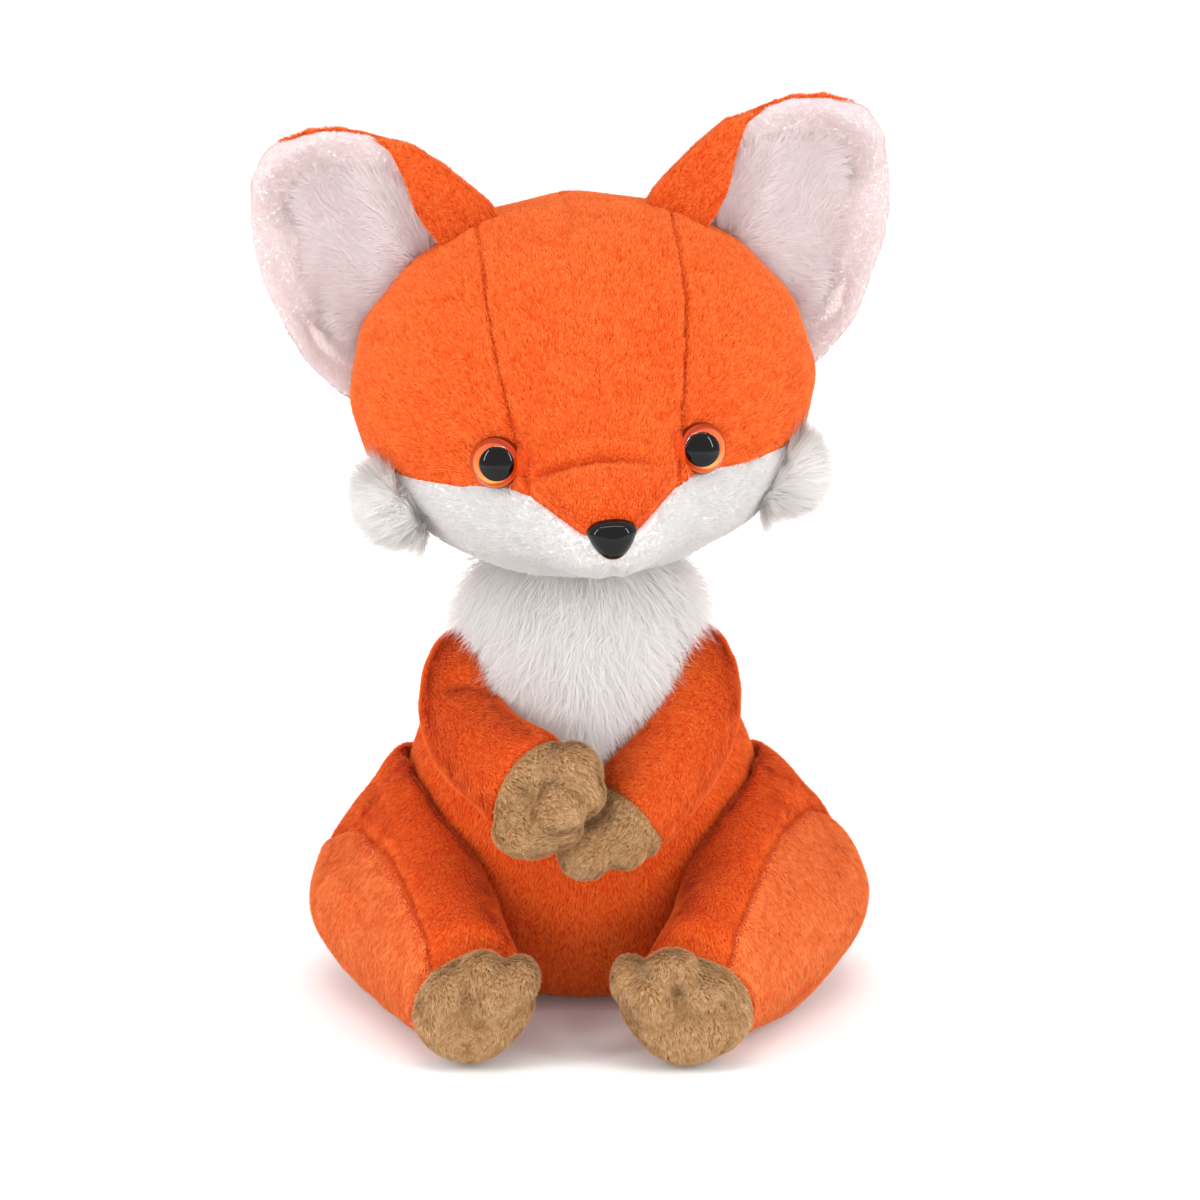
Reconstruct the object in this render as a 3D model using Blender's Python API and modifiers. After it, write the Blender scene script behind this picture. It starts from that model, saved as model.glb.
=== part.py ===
"""Sitting plush fox with folded arms: skins, stuffing, safety eyes and nose, in metres.

The fox faces -Y with +Z up, and the middle of its flat seat is the origin. Left is the fox's own
left, at +X. Every skin is the outside of a stuffed form less the same form one cloth thickness in,
so a size changed here moves the skin, its panels and its stuffing together.
"""

from math import cos, pi, radians, sin

import bmesh
import bpy
from mathutils import Matrix, Vector
from mathutils.bvhtree import BVHTree

GAP = 0.0003  # clearance between pieces that touch
CLOTH = 0.0020  # plush fabric with its pile pressed flat
FIBRE_GAP = 0.0006  # room between a skin and its stuffing
SINK = 0.0010  # how far a soft form would reach below the floor that cuts it flat
SEAM_DEPTH = 0.3  # reach of the cutters that part two panels
STAGGER = 0.0001  # keeps the flat ends of turned copies of one form out of one plane
SIDES = {"left": 1, "right": -1}

# Torso, a pear whose top is cut flat where the head sits
NECK_HEIGHT = 0.153
TORSO_WIDTH = 0.134
TORSO_DEPTH = 0.118
SIDE_SEAM_Y = 0.006
# Stations up the torso: height as a share of the neck's, width share, depth share, centre forward
TORSO_STATIONS = (
    (0.000, 0.40, 0.40, 0.000),
    (0.004, 0.72, 0.70, 0.000),
    (0.085, 0.93, 0.93, 0.001),
    (0.290, 1.01, 1.04, 0.004),
    (0.560, 0.90, 0.89, 0.008),
    (0.820, 0.59, 0.62, 0.011),
    (1.100, 0.42, 0.46, 0.013),
)
BIB_TIP_HEIGHT = 0.093
BIB_TOP_WIDTH = 0.078
BIB_BACK_Y = -0.0235
POUCH_HEIGHT = 0.026

# Head, in its own frame: origin at the middle of its widest level, nose along -Y
HEAD_CENTRE = Vector((0.0005, -0.017, 0.204))
HEAD_ROLL = radians(-3.5)
HEAD_YAW = radians(4.6)
NECK_AXIS_Y = -0.019
HEAD_WIDTH = 0.160
HEAD_HEIGHT = 0.1245
SKULL_DEPTH = 0.060
MUZZLE_LENGTH = 0.036
# Skull stations from the back: share of its half depth, width share, height share, centre up
SKULL_STATIONS = (
    (0.98, 0.36, 0.42, 0.007),
    (0.66, 0.80, 0.84, 0.006),
    (0.04, 1.02, 1.03, 0.005),
    (-0.60, 0.95, 0.95, 0.002),
    (-0.96, 0.62, 0.67, -0.008),
)
# Muzzle stations from the face: share of its length, half width, half height, centre up
MUZZLE_STATIONS = (
    (0.22, 0.0300, 0.0280, -0.0190),
    (0.60, 0.0185, 0.0190, -0.0270),
    (1.00, 0.0085, 0.0085, -0.0310),
)
# Half widths of the crown panel between its two seams, with the height of each in the head's frame
CROWN_SEAM = ((0.030, 0.080), (0.031, 0.030), (0.0268, -0.002), (0.025, -0.0205), (0.008, -0.030))
# The white face's upper seam from the nose outwards
FACE_SEAM = ((0.008, -0.030), (0.025, -0.0205), (0.052, -0.018), (0.090, -0.016))
FACE_BACK_Y = -0.004

# Eyes and nose: plastic, with posts through the cloth and lock washers behind it
EYE_SPACING = 0.0607
EYE_HEIGHT = -0.0092
EYE_DIAMETER = 0.0145
EYE_DOME = 0.0055
PUPIL_DIAMETER = 0.0104
PUPIL_THICK = 0.0016
DOME_ROOT = 0.0018  # how far the dome's edge reaches below the cloth's surface
POST_DIAMETER = 0.0036
POST_LENGTH = 0.0095
WASHER_DIAMETER = 0.0150
WASHER_THICK = 0.0014
WASHER_DROP = 0.0016  # the curved cloth dips this far over the washer's width
NOSE_HEIGHT = -0.0285
NOSE_WIDTH = 0.0160
NOSE_TALL = 0.0125
NOSE_DEEP = 0.0080
NOSE_NARROWING = 0.30  # share of its width that the nose loses towards its point
NOSE_WASHER_DIAMETER = 0.0085
NOSE_WASHER_DROP = 0.0030

# Ears: cupped sheets, in the head's frame; outline points are outwards and up
EAR_Y = -0.003
EAR_CUP = 0.012
EAR_CLOTH = 0.0022
EAR_LINING_CLOTH = 0.0014
EAR_FUR_THICK = 0.0020
EAR_FLOP = radians(12)
EAR_BASE_INNER = Vector((0.030, EAR_Y, 0.061))
EAR_BASE_OUTER = Vector((0.077, EAR_Y, 0.004))
EAR_REACH = 0.06
EAR_RING_SHARE = 0.6  # size of the ring inside the outline
EAR_OUTLINE = (
    (0.022, 0.052), (0.044, 0.078), (0.062, 0.091), (0.083, 0.093), (0.100, 0.085),
    (0.104, 0.065), (0.100, 0.040), (0.091, 0.014), (0.072, -0.004), (0.044, 0.020),
)
EAR_LINING_OUTLINE = (
    (0.040, 0.038), (0.046, 0.056), (0.057, 0.089), (0.090, 0.110), (0.115, 0.090),
    (0.102, 0.040), (0.088, 0.010), (0.060, 0.004),
)
EAR_FUR_SHARE = 0.62

# Long fur patches on the cheeks
TUFT_PLACE = Vector((0.0600, -0.030, -0.0255))
TUFT_SIZE = Vector((0.030, 0.030, 0.027))

# Arms, folded in front; stations run from the shoulder: outwards, forwards, height, radius
SHOULDER = Vector((0.037, -0.020, 0.114))
SHOULDER_RADIUS = 0.0125
ROOT_MOUTH = 0.6  # half width of the opening where a limb's fibre meets its root, by the root's radius
ARM_SWING = radians(50)
UPPER_ARM_STATIONS = {
    "right": ((0.032, 0.017, 0.1225, 0.0110), (0.040, 0.029, 0.111, 0.0160),
              (0.038, 0.052, 0.096, 0.0165), (0.025, 0.067, 0.091, 0.0165)),
    "left": ((0.032, 0.017, 0.124, 0.0110), (0.040, 0.028, 0.113, 0.0155),
             (0.037, 0.046, 0.095, 0.0165), (0.023, 0.060, 0.082, 0.0165)),
}
PAW_STATIONS = {
    "right": ((0.015, 0.077, 0.086, 0.0190), (0.006, 0.084, 0.082, 0.0190), (0.000, 0.088, 0.079, 0.0110)),
    "left": ((0.014, 0.067, 0.073, 0.0172), (0.006, 0.071, 0.067, 0.0168), (0.000, 0.074, 0.063, 0.0100)),
}
# Where the cuff lies on the way from the sleeve's last station to the middle of the paw
CUFF_SHARE = {"right": 0.42, "left": 0.35}
# The plane in which the right paw lies on the left one
PAW_CONTACT = Vector((-0.002, -0.076, 0.074))
PAW_NORMAL = Vector((-0.55, -0.45, 0.70))

# Legs; stations run from the back of the haunch: share of the leg's length, outwards, half width,
# height above the floor, lean of the section
LEG_BACK_Y = 0.044
LEG_FRONT_Y = -0.088
FOOT_FRONT_Y = -0.109
HAUNCH_SPREAD = {"left": 0.0675, "right": 0.0625}
HAUNCH_HEIGHT = 0.088
LEG_STATIONS = (
    (0.00, -0.009, 0.016, 0.58, 14),
    (0.20, -0.002, 0.029, 0.95, 28),
    (0.50, 0.000, 0.0325, 1.01, 32),
    (0.84, -0.014, 0.0235, 0.62, 10),
)
FOOT_CENTRE_X = 0.0335
FOOT_WIDTH = 0.043
FOOT_HEIGHT = 0.042
FOOT_STATIONS = ((0.12, 1.00, 1.00), (0.72, 0.98, 0.98), (1.00, 0.66, 0.68))
HIP_INSET = 0.029  # from the haunch's middle in to the hip's axis
HIP_SPLAY = radians(12)
LEG_SEAM_POINT = Vector((0.070, -0.044, 0.0))
LEG_SEAM_NORMAL = Vector((0.917, -0.396, 0.066))
ANKLE_NORMAL = Vector((-0.24, -0.97, 0.0))

# Tail, lying on the floor behind
TAIL_ROOT = Vector((0.0, 0.053, 0.019))
TAIL_ROOT_RADIUS = 0.0110
TAIL_SWING = radians(25)
TAIL_LENGTH = 0.112
TAIL_RADIUS = 0.0225
# Stations along the tail: share of its length, share of its radius
TAIL_STATIONS = (
    (-0.12, 0.45), (0.10, 0.46), (0.46, 1.04), (0.80, 0.82), (1.00, 0.30),
)
TAIL_TIP_SHARE = 0.66

# Faces round each kind of form before it is subdivided once
BODY_COLUMNS = 8
LIMB_COLUMNS = 7
ROUND_FACES = 16
TUFT_FACES = 12
DOME_STEPS = 4

ORANGE = (0.76, 0.105, 0.018, 1)
TAN = (0.50, 0.29, 0.12, 1)
WHITE = (0.87, 0.85, 0.84, 1)
FIBRE = (0.80, 0.80, 0.78, 1)
CALICO = (0.66, 0.60, 0.48, 1)
BLACK = (0.010, 0.010, 0.011, 1)
AMBER = (0.80, 0.22, 0.02, 1)
NYLON = (0.75, 0.76, 0.74, 1)
PLUSH_ROUGHNESS = 0.95
PLASTIC_ROUGHNESS = 0.12


def start_scene():
    """Empties the scene and makes one collection for the fox and one for its cutters."""
    for ob in list(bpy.data.objects):
        bpy.data.objects.remove(ob)
    made = []
    for name in ("plush_fox", "cutters"):
        collection = bpy.data.collections.new(name)
        bpy.context.scene.collection.children.link(collection)
        made.append(collection)
    return made


def finish(ob, colour, roughness):
    """Gives an object its own Principled material."""
    material = bpy.data.materials.new(ob.name + "_finish")
    material.use_nodes = True
    shader = material.node_tree.nodes["Principled BSDF"]
    shader.inputs["Base Color"].default_value = colour
    shader.inputs["Roughness"].default_value = roughness
    shader.inputs["Metallic"].default_value = 0.0
    material.diffuse_color = colour
    ob.data = ob.data.copy()
    ob.data.materials.clear()
    ob.data.materials.append(material)


def cage_mesh(name, rings, columns):
    """A closed cage through rings, each a centre and the two half axes of its ellipse.

    The half axes are the finished sizes: one subdivision draws a ring in by a known share,
    which the cage adds beforehand.
    """
    swell = 4 / (3 + cos(2 * pi / columns))
    bm = bmesh.new()
    edges = []
    for number, (centre, across, upward) in enumerate(rings):
        normal = across.cross(upward).normalized()
        frame = Matrix((across * swell, upward * swell, normal)).transposed().to_4x4()
        frame.translation = centre
        capped = number in (0, len(rings) - 1)
        ring = bmesh.ops.create_circle(bm, cap_ends=capped, segments=columns, radius=1, matrix=frame)
        found = {edge for vert in ring["verts"] for edge in vert.link_edges}
        edges.append(list(found))
    for lower, upper in zip(edges, edges[1:]):
        bmesh.ops.bridge_loops(bm, edges=lower + upper)
    bmesh.ops.recalc_face_normals(bm, faces=bm.faces)
    mesh = bpy.data.meshes.new(name)
    bm.to_mesh(mesh)
    bm.free()
    return mesh


def new_object(name, mesh, collection):
    ob = bpy.data.objects.new(name, mesh)
    collection.objects.link(ob)
    if collection is CUTTERS:
        ob.hide_render = True
        ob.display_type = "WIRE"
    return ob


def form(name, cage, collection, inset=0.0):
    """A cage subdivided once, then moved in along its normals by the inset."""
    ob = new_object(name, cage, collection)
    rounding = ob.modifiers.new("rounding", "SUBSURF")
    rounding.levels = 1
    rounding.render_levels = 1
    facets = ob.modifiers.new("facets", "TRIANGULATE")
    facets.quad_method = "FIXED"
    if inset:
        thickness = ob.modifiers.new("inset", "DISPLACE")
        thickness.strength = -inset
        thickness.mid_level = 0
    return ob


def boolean(ob, other, operation="DIFFERENCE"):
    step = ob.modifiers.new(operation.lower() + "_" + other.name, "BOOLEAN")
    step.object = other
    step.operation = operation
    step.solver = "EXACT"
    return ob


def box(name, low, high):
    """A cutter box between two corners."""
    bm = bmesh.new()
    bmesh.ops.create_cube(bm, size=1)
    low, high = Vector(low), Vector(high)
    for vert in bm.verts:
        vert.co = Vector([(low[i] + high[i]) / 2 + vert.co[i] * (high[i] - low[i]) for i in range(3)])
    mesh = bpy.data.meshes.new(name)
    bm.to_mesh(mesh)
    bm.free()
    return new_object(name, mesh, CUTTERS)


def half_space(name, point, normal, offset=0.0):
    """A cutter that fills the side of a plane that its normal points to."""
    normal = Vector(normal).normalized()
    ob = box(name, (-SEAM_DEPTH, -SEAM_DEPTH, 0), (SEAM_DEPTH, SEAM_DEPTH, SEAM_DEPTH))
    turn = normal.to_track_quat("Z", "Y").to_matrix().to_4x4()
    ob.data.transform(Matrix.Translation(Vector(point) + normal * offset) @ turn)
    return ob


def widened(outline, grow):
    """An outline of (x, z) points running clockwise as seen from the front, moved outwards."""
    moved = []
    count = len(outline)
    for i, point in enumerate(outline):
        before = Vector(point) - Vector(outline[i - 1])
        after = Vector(outline[(i + 1) % count]) - Vector(point)
        one = Vector((-before.y, before.x)).normalized()
        two = Vector((-after.y, after.x)).normalized()
        share = 1 + one.dot(two)
        moved.append(Vector(point) + (one + two) * grow / share)
    return moved


def prism(name, outline, front, back, grow=0.0):
    """A cutter whose (x, z) outline runs through from front to back."""
    bm = bmesh.new()
    verts = [bm.verts.new((x, front, z)) for x, z in widened(outline, grow)]
    face = bm.faces.new(verts)
    side = bmesh.ops.extrude_face_region(bm, geom=[face])
    moved = [item for item in side["geom"] if isinstance(item, bmesh.types.BMVert)]
    bmesh.ops.translate(bm, verts=moved, vec=(0, back - front, 0))
    bmesh.ops.recalc_face_normals(bm, faces=bm.faces)
    mesh = bpy.data.meshes.new(name)
    bm.to_mesh(mesh)
    bm.free()
    return new_object(name, mesh, CUTTERS)


def ball(name, centre, radius, collection, faces=ROUND_FACES):
    bm = bmesh.new()
    bmesh.ops.create_uvsphere(bm, u_segments=faces, v_segments=faces // 2, radius=radius)
    bmesh.ops.translate(bm, verts=bm.verts, vec=centre)
    mesh = bpy.data.meshes.new(name)
    bm.to_mesh(mesh)
    bm.free()
    return new_object(name, mesh, collection)


def turned(name, profile, collection, faces=ROUND_FACES):
    """A profile of (radius, height) points turned round Z."""
    bm = bmesh.new()
    verts = [bm.verts.new((radius, 0, height)) for radius, height in profile]
    for lower, upper in zip(verts, verts[1:]):
        bm.edges.new((lower, upper))
    if profile[0][0] > 0:
        bm.edges.new((verts[-1], verts[0]))
    mesh = bpy.data.meshes.new(name)
    bm.to_mesh(mesh)
    bm.free()
    ob = new_object(name, mesh, collection)
    screw = ob.modifiers.new("turn", "SCREW")
    screw.steps = faces
    screw.render_steps = faces
    screw.use_merge_vertices = True
    screw.merge_threshold = 0.00001
    return ob


def empty(name, frame, parent=None):
    """An empty whose world frame is given; FRAMES keeps it for the pieces that hang on it."""
    ob = bpy.data.objects.new(name, None)
    FOX.objects.link(ob)
    FRAMES[name] = frame
    if parent:
        ob.parent = parent
        ob.matrix_parent_inverse = FRAMES[parent.name].inverted()
    ob.matrix_basis = frame
    return ob


def hang(ob, parent):
    """Parents a piece modelled in place, so that it stays where it is."""
    ob.parent = parent
    ob.matrix_parent_inverse = FRAMES[parent.name].inverted()
    return ob


def swept_room(name, cage, frame, pivot, axis, angles, root=None):
    """All that a fixed form takes from a piece turning about the pivot, with its clearance.

    The form is met at each angle. A root ball, given by its radius, turns in a socket of the form
    and keeps its room.
    """
    room = form(name, cage, CUTTERS, -GAP)
    room.matrix_basis = frame
    for number, angle in enumerate(angles):
        turned_form = form(f"{name}_{number}", cage, CUTTERS, -GAP)
        turn = Matrix.Rotation(-angle, 4, axis)
        lowered = pivot - Vector((0, 0, STAGGER * (number + 1)))
        turned_form.matrix_basis = Matrix.Translation(lowered) @ turn @ Matrix.Translation(-pivot) @ frame
        boolean(room, turned_form, "UNION")
    if root:
        boolean(room, ball(name + "_root", pivot, root, CUTTERS))
    return room


def ring_path(points, radii):
    """Rings square to a path through points, carried along it without twist."""
    rings = []
    across = None
    for i, point in enumerate(points):
        ahead = points[min(i + 1, len(points) - 1)]
        behind = points[max(i - 1, 0)]
        run = (ahead - behind).normalized()
        across = run.cross(Vector((0, 0, 1))) if across is None else across - run * across.dot(run)
        across.normalize()
        rings.append((point, across * radii[i], across.cross(run) * radii[i]))
    return rings


def torso_cage():
    rings = []
    for height, width, depth, forward in TORSO_STATIONS:
        centre = Vector((0, -forward, height * (NECK_HEIGHT + SINK) - SINK))
        across = Vector((width * TORSO_WIDTH / 2, 0, 0))
        rings.append((centre, across, Vector((0, depth * TORSO_DEPTH / 2, 0))))
    return cage_mesh("torso_cage", rings, BODY_COLUMNS)


def head_cage():
    rings = []
    for share, width, height, up in SKULL_STATIONS:
        centre = Vector((0, share * SKULL_DEPTH, up))
        across = Vector((-width * HEAD_WIDTH / 2, 0, 0))
        rings.append((centre, across, Vector((0, 0, height * HEAD_HEIGHT / 2))))
    for share, half_width, half_height, up in MUZZLE_STATIONS:
        centre = Vector((0, -SKULL_DEPTH - share * MUZZLE_LENGTH, up))
        rings.append((centre, Vector((-half_width, 0, 0)), Vector((0, 0, half_height))))
    return cage_mesh("head_cage", rings, BODY_COLUMNS)


def arm_cage(side):
    sign = SIDES[side]
    stations = UPPER_ARM_STATIONS[side] + PAW_STATIONS[side]
    points = [Vector((sign * x, -forward, z)) for x, forward, z, radius in stations]
    return cage_mesh(f"arm_cage_{side}", ring_path(points, [s[3] for s in stations]), LIMB_COLUMNS)


def leg_cage(side):
    """Sections that all rest on the floor, leaning in over the thigh and upright at the foot."""
    sign = SIDES[side]
    rings = []
    for share, outwards, half_width, height, lean in LEG_STATIONS:
        tilt = radians(lean)
        half_rise = (height * HAUNCH_HEIGHT + SINK) / 2
        long_axis = max(half_rise**2 - (half_width * sin(tilt)) ** 2, 0) ** 0.5 / cos(tilt)
        y = LEG_BACK_Y + share * (LEG_FRONT_Y - LEG_BACK_Y)
        centre = Vector((sign * (HAUNCH_SPREAD[side] + outwards), y, half_rise - SINK))
        across = Vector((-sign * cos(tilt), 0, -sin(tilt))) * half_width * sign
        upward = Vector((-sign * sin(tilt), 0, cos(tilt))) * long_axis
        rings.append((centre, across, upward))
    for share, width, height in FOOT_STATIONS:
        half_rise = (height * FOOT_HEIGHT + SINK) / 2
        y = LEG_FRONT_Y + share * (FOOT_FRONT_Y - LEG_FRONT_Y)
        centre = Vector((sign * FOOT_CENTRE_X, y, FOOT_HEIGHT / 2 - SINK))
        across = Vector((-width * FOOT_WIDTH / 2, 0, 0))
        rings.append((centre, across, Vector((0, 0, half_rise))))
    return cage_mesh(f"leg_cage_{side}", rings, LIMB_COLUMNS)


def tail_cage():
    rings = []
    for share, size in TAIL_STATIONS:
        radius = size * TAIL_RADIUS
        resting = radius - SINK
        height = max(resting, TAIL_ROOT.z * (1 - share / TAIL_TIP_SHARE))
        centre = Vector((0, TAIL_ROOT.y + share * TAIL_LENGTH, height))
        rings.append((centre, Vector((radius, 0, 0)), Vector((0, 0, radius))))
    return cage_mesh("tail_cage", rings, LIMB_COLUMNS)


def make_torso(cage):
    """Belly, back and bib panels, the fibre, and the pouch of pellets in the seat."""
    cavity = form("torso_cavity", cage, CUTTERS, CLOTH)
    neck = half_space("torso_neck_cut", (0, 0, NECK_HEIGHT), (0, 0, 1), -GAP / 2)
    sockets = [ball(f"arm_socket_{side}", mirrored(SHOULDER, side), SHOULDER_RADIUS + GAP, CUTTERS)
               for side in SIDES]
    sockets.append(ball("tail_socket", TAIL_ROOT, TAIL_ROOT_RADIUS + GAP, CUTTERS))
    front = half_space("belly_side", (0, SIDE_SEAM_Y, 0), (0, -1, 0), GAP / 2)
    back = half_space("back_side", (0, SIDE_SEAM_Y, 0), (0, 1, 0), GAP / 2)
    top = NECK_HEIGHT + SKULL_DEPTH
    half_top = BIB_TOP_WIDTH / 2
    bib_outline = ((0, BIB_TIP_HEIGHT), (-half_top, NECK_HEIGHT), (-half_top, top),
                   (half_top, top), (half_top, NECK_HEIGHT))
    bib_inside = prism("bib_inside", bib_outline, -SEAM_DEPTH, BIB_BACK_Y)
    bib_room = prism("bib_room", bib_outline, -SEAM_DEPTH, BIB_BACK_Y + GAP, GAP)
    panels = {"torso_front": (front, "INTERSECT"), "torso_back": (back, "INTERSECT"),
              "bib_panel": (bib_inside, "INTERSECT")}
    made = []
    for name, (region, how) in panels.items():
        skin = form(name, cage, FOX)
        boolean(skin, cavity)
        boolean(skin, FLOOR)
        boolean(skin, neck)
        boolean(skin, region, how)
        if name == "torso_front":
            boolean(skin, bib_room)
        for socket in sockets:
            boolean(skin, socket)
        made.append(skin)
        finish(skin, WHITE if name == "bib_panel" else ORANGE, PLUSH_ROUGHNESS)
    pouch_top = half_space("pouch_top", (0, 0, POUCH_HEIGHT), (0, 0, 1))
    fibre_base = half_space("fibre_base", (0, 0, POUCH_HEIGHT), (0, 0, -1), -GAP)
    fibre = form("torso_stuffing", cage, FOX, CLOTH + FIBRE_GAP)
    pouch = form("pellet_pouch", cage, FOX, CLOTH + FIBRE_GAP)
    for socket in sockets:
        boolean(fibre, socket)
        boolean(pouch, socket)
    boolean(boolean(fibre, fibre_base), neck)
    boolean(pouch, pouch_top)
    finish(fibre, FIBRE, PLUSH_ROUGHNESS)
    finish(pouch, CALICO, PLUSH_ROUGHNESS)
    return made + [fibre, pouch]


def mirrored(point, side):
    return Vector((SIDES[side] * point.x, point.y, point.z))


def make_limb(cage, panels, stuffing, cutters, parent, pressed=()):
    """Skins cut from one form, open towards the body, round one stuffing.

    panels gives each skin's name, the planes that bound it and its colour. pressed is the point and
    the normal of a plane in which the form lies flat against another, under its own cloth.
    """
    cavity = form(stuffing + "_cavity", cage, CUTTERS, CLOTH)
    fibre = form(stuffing, cage, FOX, CLOTH + FIBRE_GAP)
    skin_cutters = list(cutters)
    if pressed:
        boolean(cavity, half_space(stuffing + "_pressed_cavity", *pressed, -GAP / 2 - CLOTH))
        boolean(fibre, half_space(stuffing + "_pressed", *pressed, -GAP / 2 - CLOTH - FIBRE_GAP))
        skin_cutters.append(half_space(stuffing + "_pressed_skin", *pressed, -GAP / 2))
    for name, bounds, colour in panels:
        skin = form(name, cage, FOX)
        boolean(skin, cavity)
        for cutter in skin_cutters + bounds:
            boolean(skin, cutter)
        finish(skin, colour, PLUSH_ROUGHNESS)
        hang(skin, parent)
    for cutter in cutters:
        boolean(fibre, cutter)
    finish(fibre, FIBRE, PLUSH_ROUGHNESS)
    hang(fibre, parent)


def split(name, point, normal):
    """Two cutters that leave a seam's gap along a plane."""
    ahead = half_space(name + "_ahead", point, normal, -GAP / 2)
    behind = half_space(name + "_behind", point, -Vector(normal), -GAP / 2)
    return ahead, behind


def make_arms(body_cage, parent):
    for side, sign in SIDES.items():
        pivot = mirrored(SHOULDER, side)
        axis = empty(f"shoulder_axis_{side}", Matrix.Translation(pivot), parent)
        angles = [sign * ARM_SWING * share for share in (0.5, 1)]
        room = swept_room(f"arm_clear_{side}", body_cage, Matrix(), pivot, "Z", angles, SHOULDER_RADIUS)
        reach = SHOULDER_RADIUS * ROOT_MOUTH
        across = sorted((0, pivot.x))
        mouth = box(f"armhole_{side}", (across[0], pivot.y - reach, pivot.z - reach),
                    (across[1], pivot.y + reach, pivot.z + reach))
        last = Vector(UPPER_ARM_STATIONS[side][-1][:3])
        paw = Vector(PAW_STATIONS[side][1][:3])
        cuff = Vector((sign * last.x, -last.y, last.z))
        run = Vector((sign * paw.x, -paw.y, paw.z)) - cuff
        ahead, behind = split(f"cuff_{side}", cuff + run * CUFF_SHARE[side], run)
        panels = ((f"sleeve_{side}", [ahead, mouth], ORANGE), (f"paw_{side}", [behind], TAN))
        facing = PAW_NORMAL if side == "left" else -PAW_NORMAL
        make_limb(arm_cage(side), panels, f"arm_stuffing_{side}", [room], axis, (PAW_CONTACT, facing))


def make_legs(body_cage, parent):
    for side, sign in SIDES.items():
        pivot = Vector((sign * (HAUNCH_SPREAD[side] - HIP_INSET), LEG_BACK_Y, 0))
        axis = empty(f"hip_axis_{side}", Matrix.Translation(pivot), parent)
        angles = [sign * HIP_SPLAY * share for share in (0.5, 1)]
        cutters = [swept_room(f"leg_clear_{side}", body_cage, Matrix(), pivot, "Z", angles), FLOOR]
        seam_point = mirrored(LEG_SEAM_POINT, side)
        seam_normal = mirrored(LEG_SEAM_NORMAL, side)
        outer, inner = split(f"leg_seam_{side}", seam_point, seam_normal)
        ankle = Vector((sign * FOOT_CENTRE_X, LEG_FRONT_Y, 0))
        front, rear = split(f"ankle_{side}", ankle, mirrored(ANKLE_NORMAL, side))
        panels = (
            (f"leg_outer_{side}", [inner, front], ORANGE),
            (f"leg_inner_{side}", [outer, front], ORANGE),
            (f"foot_{side}", [rear], TAN),
        )
        make_limb(leg_cage(side), panels, f"leg_stuffing_{side}", cutters, axis)


def make_tail(body_cage, parent):
    axis = empty("tail_axis", Matrix.Translation(TAIL_ROOT), parent)
    angles = [TAIL_SWING * share for share in (-1, -0.5, 0.5, 1)]
    room = swept_room("tail_clear", body_cage, Matrix(), TAIL_ROOT, "Z", angles, TAIL_ROOT_RADIUS)
    cutters = [room, FLOOR]
    reach = TAIL_ROOT_RADIUS * ROOT_MOUTH
    mouth = box("tail_mouth", (-reach, TAIL_ROOT.y - TAIL_ROOT_RADIUS, TAIL_ROOT.z - reach),
                (reach, TAIL_ROOT.y, TAIL_ROOT.z + reach))
    seam = (0, TAIL_ROOT.y + TAIL_TIP_SHARE * TAIL_LENGTH, 0)
    ahead, behind = split("tail_seam", seam, (0, 1, 0))
    panels = (("tail_sleeve", [ahead, mouth], ORANGE), ("tail_tip", [behind], WHITE))
    make_limb(tail_cage(), panels, "tail_stuffing", cutters, axis)


def surface_hit(ob, start, direction):
    """Where a ray meets an object's finished surface, and its normal there."""
    bpy.context.view_layer.update()
    graph = bpy.context.evaluated_depsgraph_get()
    tree = BVHTree.FromObject(ob.evaluated_get(graph), graph)
    place, normal, _, _ = tree.ray_cast(start, direction)
    return place, normal


def seated(place, normal):
    """The frame of a plastic part whose own Z points out of the cloth."""
    turn = normal.to_track_quat("Z", "Y").to_matrix().to_4x4()
    return Matrix.Translation(place) @ turn


def make_eye(side, skull, clearance, pose):
    """Dome, pupil with its post, and washer; returns the cutters that open the cloth and the fibre."""
    sign = SIDES[side]
    start = Vector((sign * EYE_SPACING / 2, -SEAM_DEPTH, EYE_HEIGHT))
    place, normal = surface_hit(skull, start, Vector((0, 1, 0)))
    frame = seated(place, normal)
    radius = EYE_DIAMETER / 2
    pocket = PUPIL_DIAMETER / 2 + GAP
    base = 2 * GAP
    front = base + PUPIL_THICK
    profile = [(0, GAP + EYE_DOME)]
    for step in range(DOME_STEPS - 1, -1, -1):
        angle = pi / 2 * step / DOME_STEPS
        profile.append((radius * cos(angle), GAP + EYE_DOME * sin(angle)))
    profile += [(radius, -DOME_ROOT), (pocket, -DOME_ROOT), (pocket, front + GAP), (0, front + GAP)]
    dome = turned(f"eye_dome_{side}", profile, FOX)
    boolean(dome, clearance)
    post = POST_DIAMETER / 2
    black = PUPIL_DIAMETER / 2
    stud = [(0, front), (black, front), (black, base), (post, base), (post, -POST_LENGTH), (0, -POST_LENGTH)]
    pupil = turned(f"eye_pupil_{side}", stud, FOX)
    under = -CLOTH - WASHER_DROP
    washer = turned(f"eye_washer_{side}", washer_profile(post, WASHER_DIAMETER / 2, under), FOX)
    hole = post_hole(f"eye_hole_{side}", radius)
    room = washer_room(f"eye_room_{side}", WASHER_DIAMETER / 2, under)
    for ob in (dome, pupil, washer, hole, room):
        ob.matrix_local = frame
        hang_local(ob, pose)
    finish(dome, AMBER, PLASTIC_ROUGHNESS)
    finish(pupil, BLACK, PLASTIC_ROUGHNESS)
    finish(washer, NYLON, PLUSH_ROUGHNESS / 2)
    return hole, room


def post_hole(name, high):
    """The cutter that lets a post through the cloth."""
    wide = POST_DIAMETER / 2 + GAP
    end = -POST_LENGTH - GAP
    return turned(name, [(0, high), (wide, high), (wide, end), (0, end)], CUTTERS, TUFT_FACES)


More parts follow.
